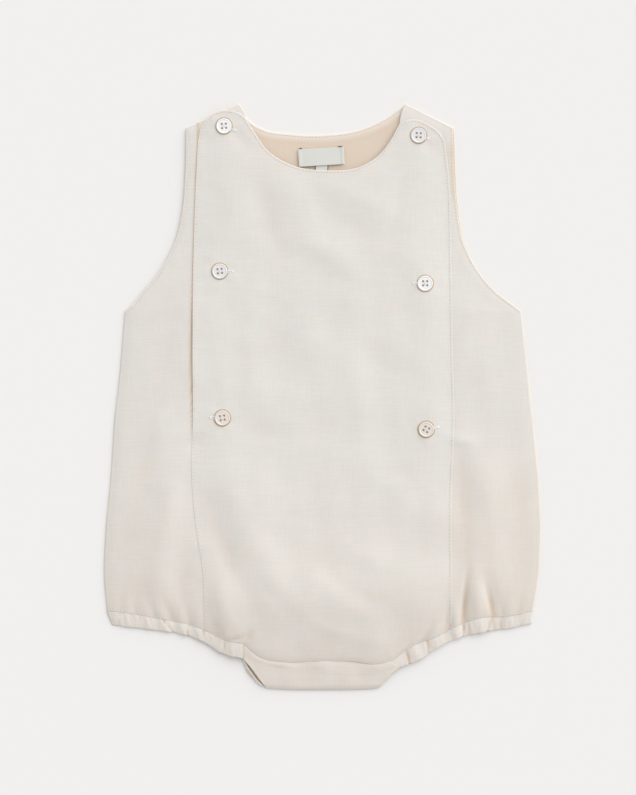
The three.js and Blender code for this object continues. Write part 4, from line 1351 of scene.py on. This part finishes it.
def button_mesh(name, row, finish):
    """A turned disc on a polar grid: its profile of rim and dish, less a round pit at each of four holes,
    then a plain underside."""
    flat_radius = BUTTON_RADIUS - RIM_WIDTH
    round_off = flat_radius + RIM_WIDTH * np.sin(np.linspace(0.2, np.pi / 2, 6))
    rings = np.concatenate([np.linspace(0.15, flat_radius, 26), round_off])
    turn = np.linspace(0, 2 * np.pi, BUTTON_AROUND, endpoint=False)
    far, angle = np.meshgrid(rings, turn, indexing="ij")
    x = far * np.cos(angle)
    y = far * np.sin(angle)
    rim = bell(far - BUTTON_RADIUS + 0.6, 0.42)
    groove = 0.10 * bell(far - BUTTON_RADIUS * 0.72, 0.35)
    top = BUTTON["height"] - BUTTON["dish"] * (1 - rim) - groove - 0.08 * bell(far, 2.6)
    edge = np.clip((far - flat_radius) / RIM_WIDTH, 0, 1)
    top -= BUTTON["height"] * 0.42 * (1 - np.sqrt(np.maximum(1 - edge**2, 0)))
    sign = np.array([(-1, -1), (-1, 1), (1, -1), (1, 1)]) * BUTTON["spread"]
    near = np.hypot(x[..., None] - sign[:, 0], y[..., None] - sign[:, 1]).min(-1)
    pit = 1 - soft_step(near, BUTTON["hole"] - 0.14, BUTTON["hole"] + 0.10)
    top -= BUTTON["pit"] * pit
    under = np.full_like(top, BUTTON["under"])
    under[0] = BUTTON["height"] * 0.35
    grid = np.concatenate([np.dstack([x, y, top]), np.dstack([x[::-1], y[::-1], under])])
    middles = [(0, 0, top[0].mean()), (0, 0, BUTTON["under"])]
    points = np.vstack([grid.reshape(-1, 3), middles])
    way = heading(row["turn"])
    points[:, :2] = points[:, :2] @ np.array([way, left_of(way)]) + (row["x"], row["y"])
    points[:, 2] += button_seat(row)
    # The pits are marked so that the shell's finish paints them with brown shade.
    hole_shade_mask = np.concatenate([pit.ravel(), np.zeros(under.size + 2)])
    return new_mesh(name, points, ring_faces(*grid.shape[:2]), [finish] * 3, "shell_button", hole=hole_shade_mask)


def button_seat(row):
    """The height of a button's underside, a little sunk in the cloth under its middle."""
    return on_front(np.array([[row["x"], row["y"]]]), -BUTTON["sunk"])[0, 2]


button_threads = []
for name, row in zip(BUTTON_NAMES, BUTTONS):
    polish = shell(f"shell_{name}", float(row["pearl"]), float(row["white"]))
    piece = button_mesh(f"shell_button_{name}", row, polish)
    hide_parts(f"button_{name}")
    face = button_seat(row) + BUTTON["height"] - BUTTON["dish"] + 0.02
    for diagonal in (45, 135):
        way = heading(row["turn"] + diagonal)[None]
        button_threads.append((np.array([[row["x"], row["y"], face]]), way, *CROSS_THREAD.values()))
sewn("button_sewing", [button_threads], [THREAD])

# The buttonholes: worked by machine in the centre front with close bars of cream thread each side
# of a cut, and a bar across each end. They run across the garment, and a part shows beside each button.
# The cut is a dark brown strip that paints the shade in it.
HOLES = table("x y turn length", [
    (-64.2, 181.6, -8, 10.0),
    (66.3, 176.2, -9, 10.5),
    (-66.2, 85.4, -4, 10.0),
    (67.0, 77.3, 2, 10.5),
    (-70.4, -13.7, 4, 10.5),
    (73.4, -21.2, 8, 9.5),
])
BAR_PITCH = 0.5
BAR_ASIDE = 0.55  # from the cut to the middle of a bar
BAR = {"length": 1.2, "width": 0.55, "height": 0.32}
END_BAR = {"length": 2.5, "width": 1.4, "height": 0.5}
CUT = {"width": 0.75, "height": 0.44}
# Painted shade: the dark brown colour of the buttonhole cut.
SLIT_PAINTED_SHADE = (0.36, 0.19, 0.09, 1)
slit_shade = Finish("buttonhole_cut_shade", base_color=SLIT_PAINTED_SHADE, roughness=0.95)
slit_shade.colour(slit_shade.noise(slit_shade.place() * 2000.0), SLIT_PAINTED_SHADE, HOLE_PAINTED_SHADE)
tuft = Finish("buttonhole_thread", base_color=(0.885, 0.862, 0.83, 1), roughness=0.7, sheen_weight=0.2)
bars = []
cuts = []
for row in HOLES:
    middle = np.array([[row["x"], row["y"]]])
    way = heading(row["turn"])
    across = left_of(way)
    along = np.arange(-row["length"] / 2, row["length"] / 2, BAR_PITCH)[:, None]
    for side in (-1, 1):
        flat = middle + along * way + side * BAR_ASIDE * across
        bars.append((on_front(flat, 0.12), np.tile(across, (len(flat), 1)), *BAR.values()))
    for end in (-1, 1):
        flat = middle + end * (row["length"] / 2 + 0.3) * way
        bars.append((on_front(flat, 0.1), across[None], *END_BAR.values()))
    cuts.append((on_front(middle, 0.02), way[None], row["length"] - 1.2, *CUT.values()))
sewn("buttonholes", [bars, cuts], [tuft, slit_shade])
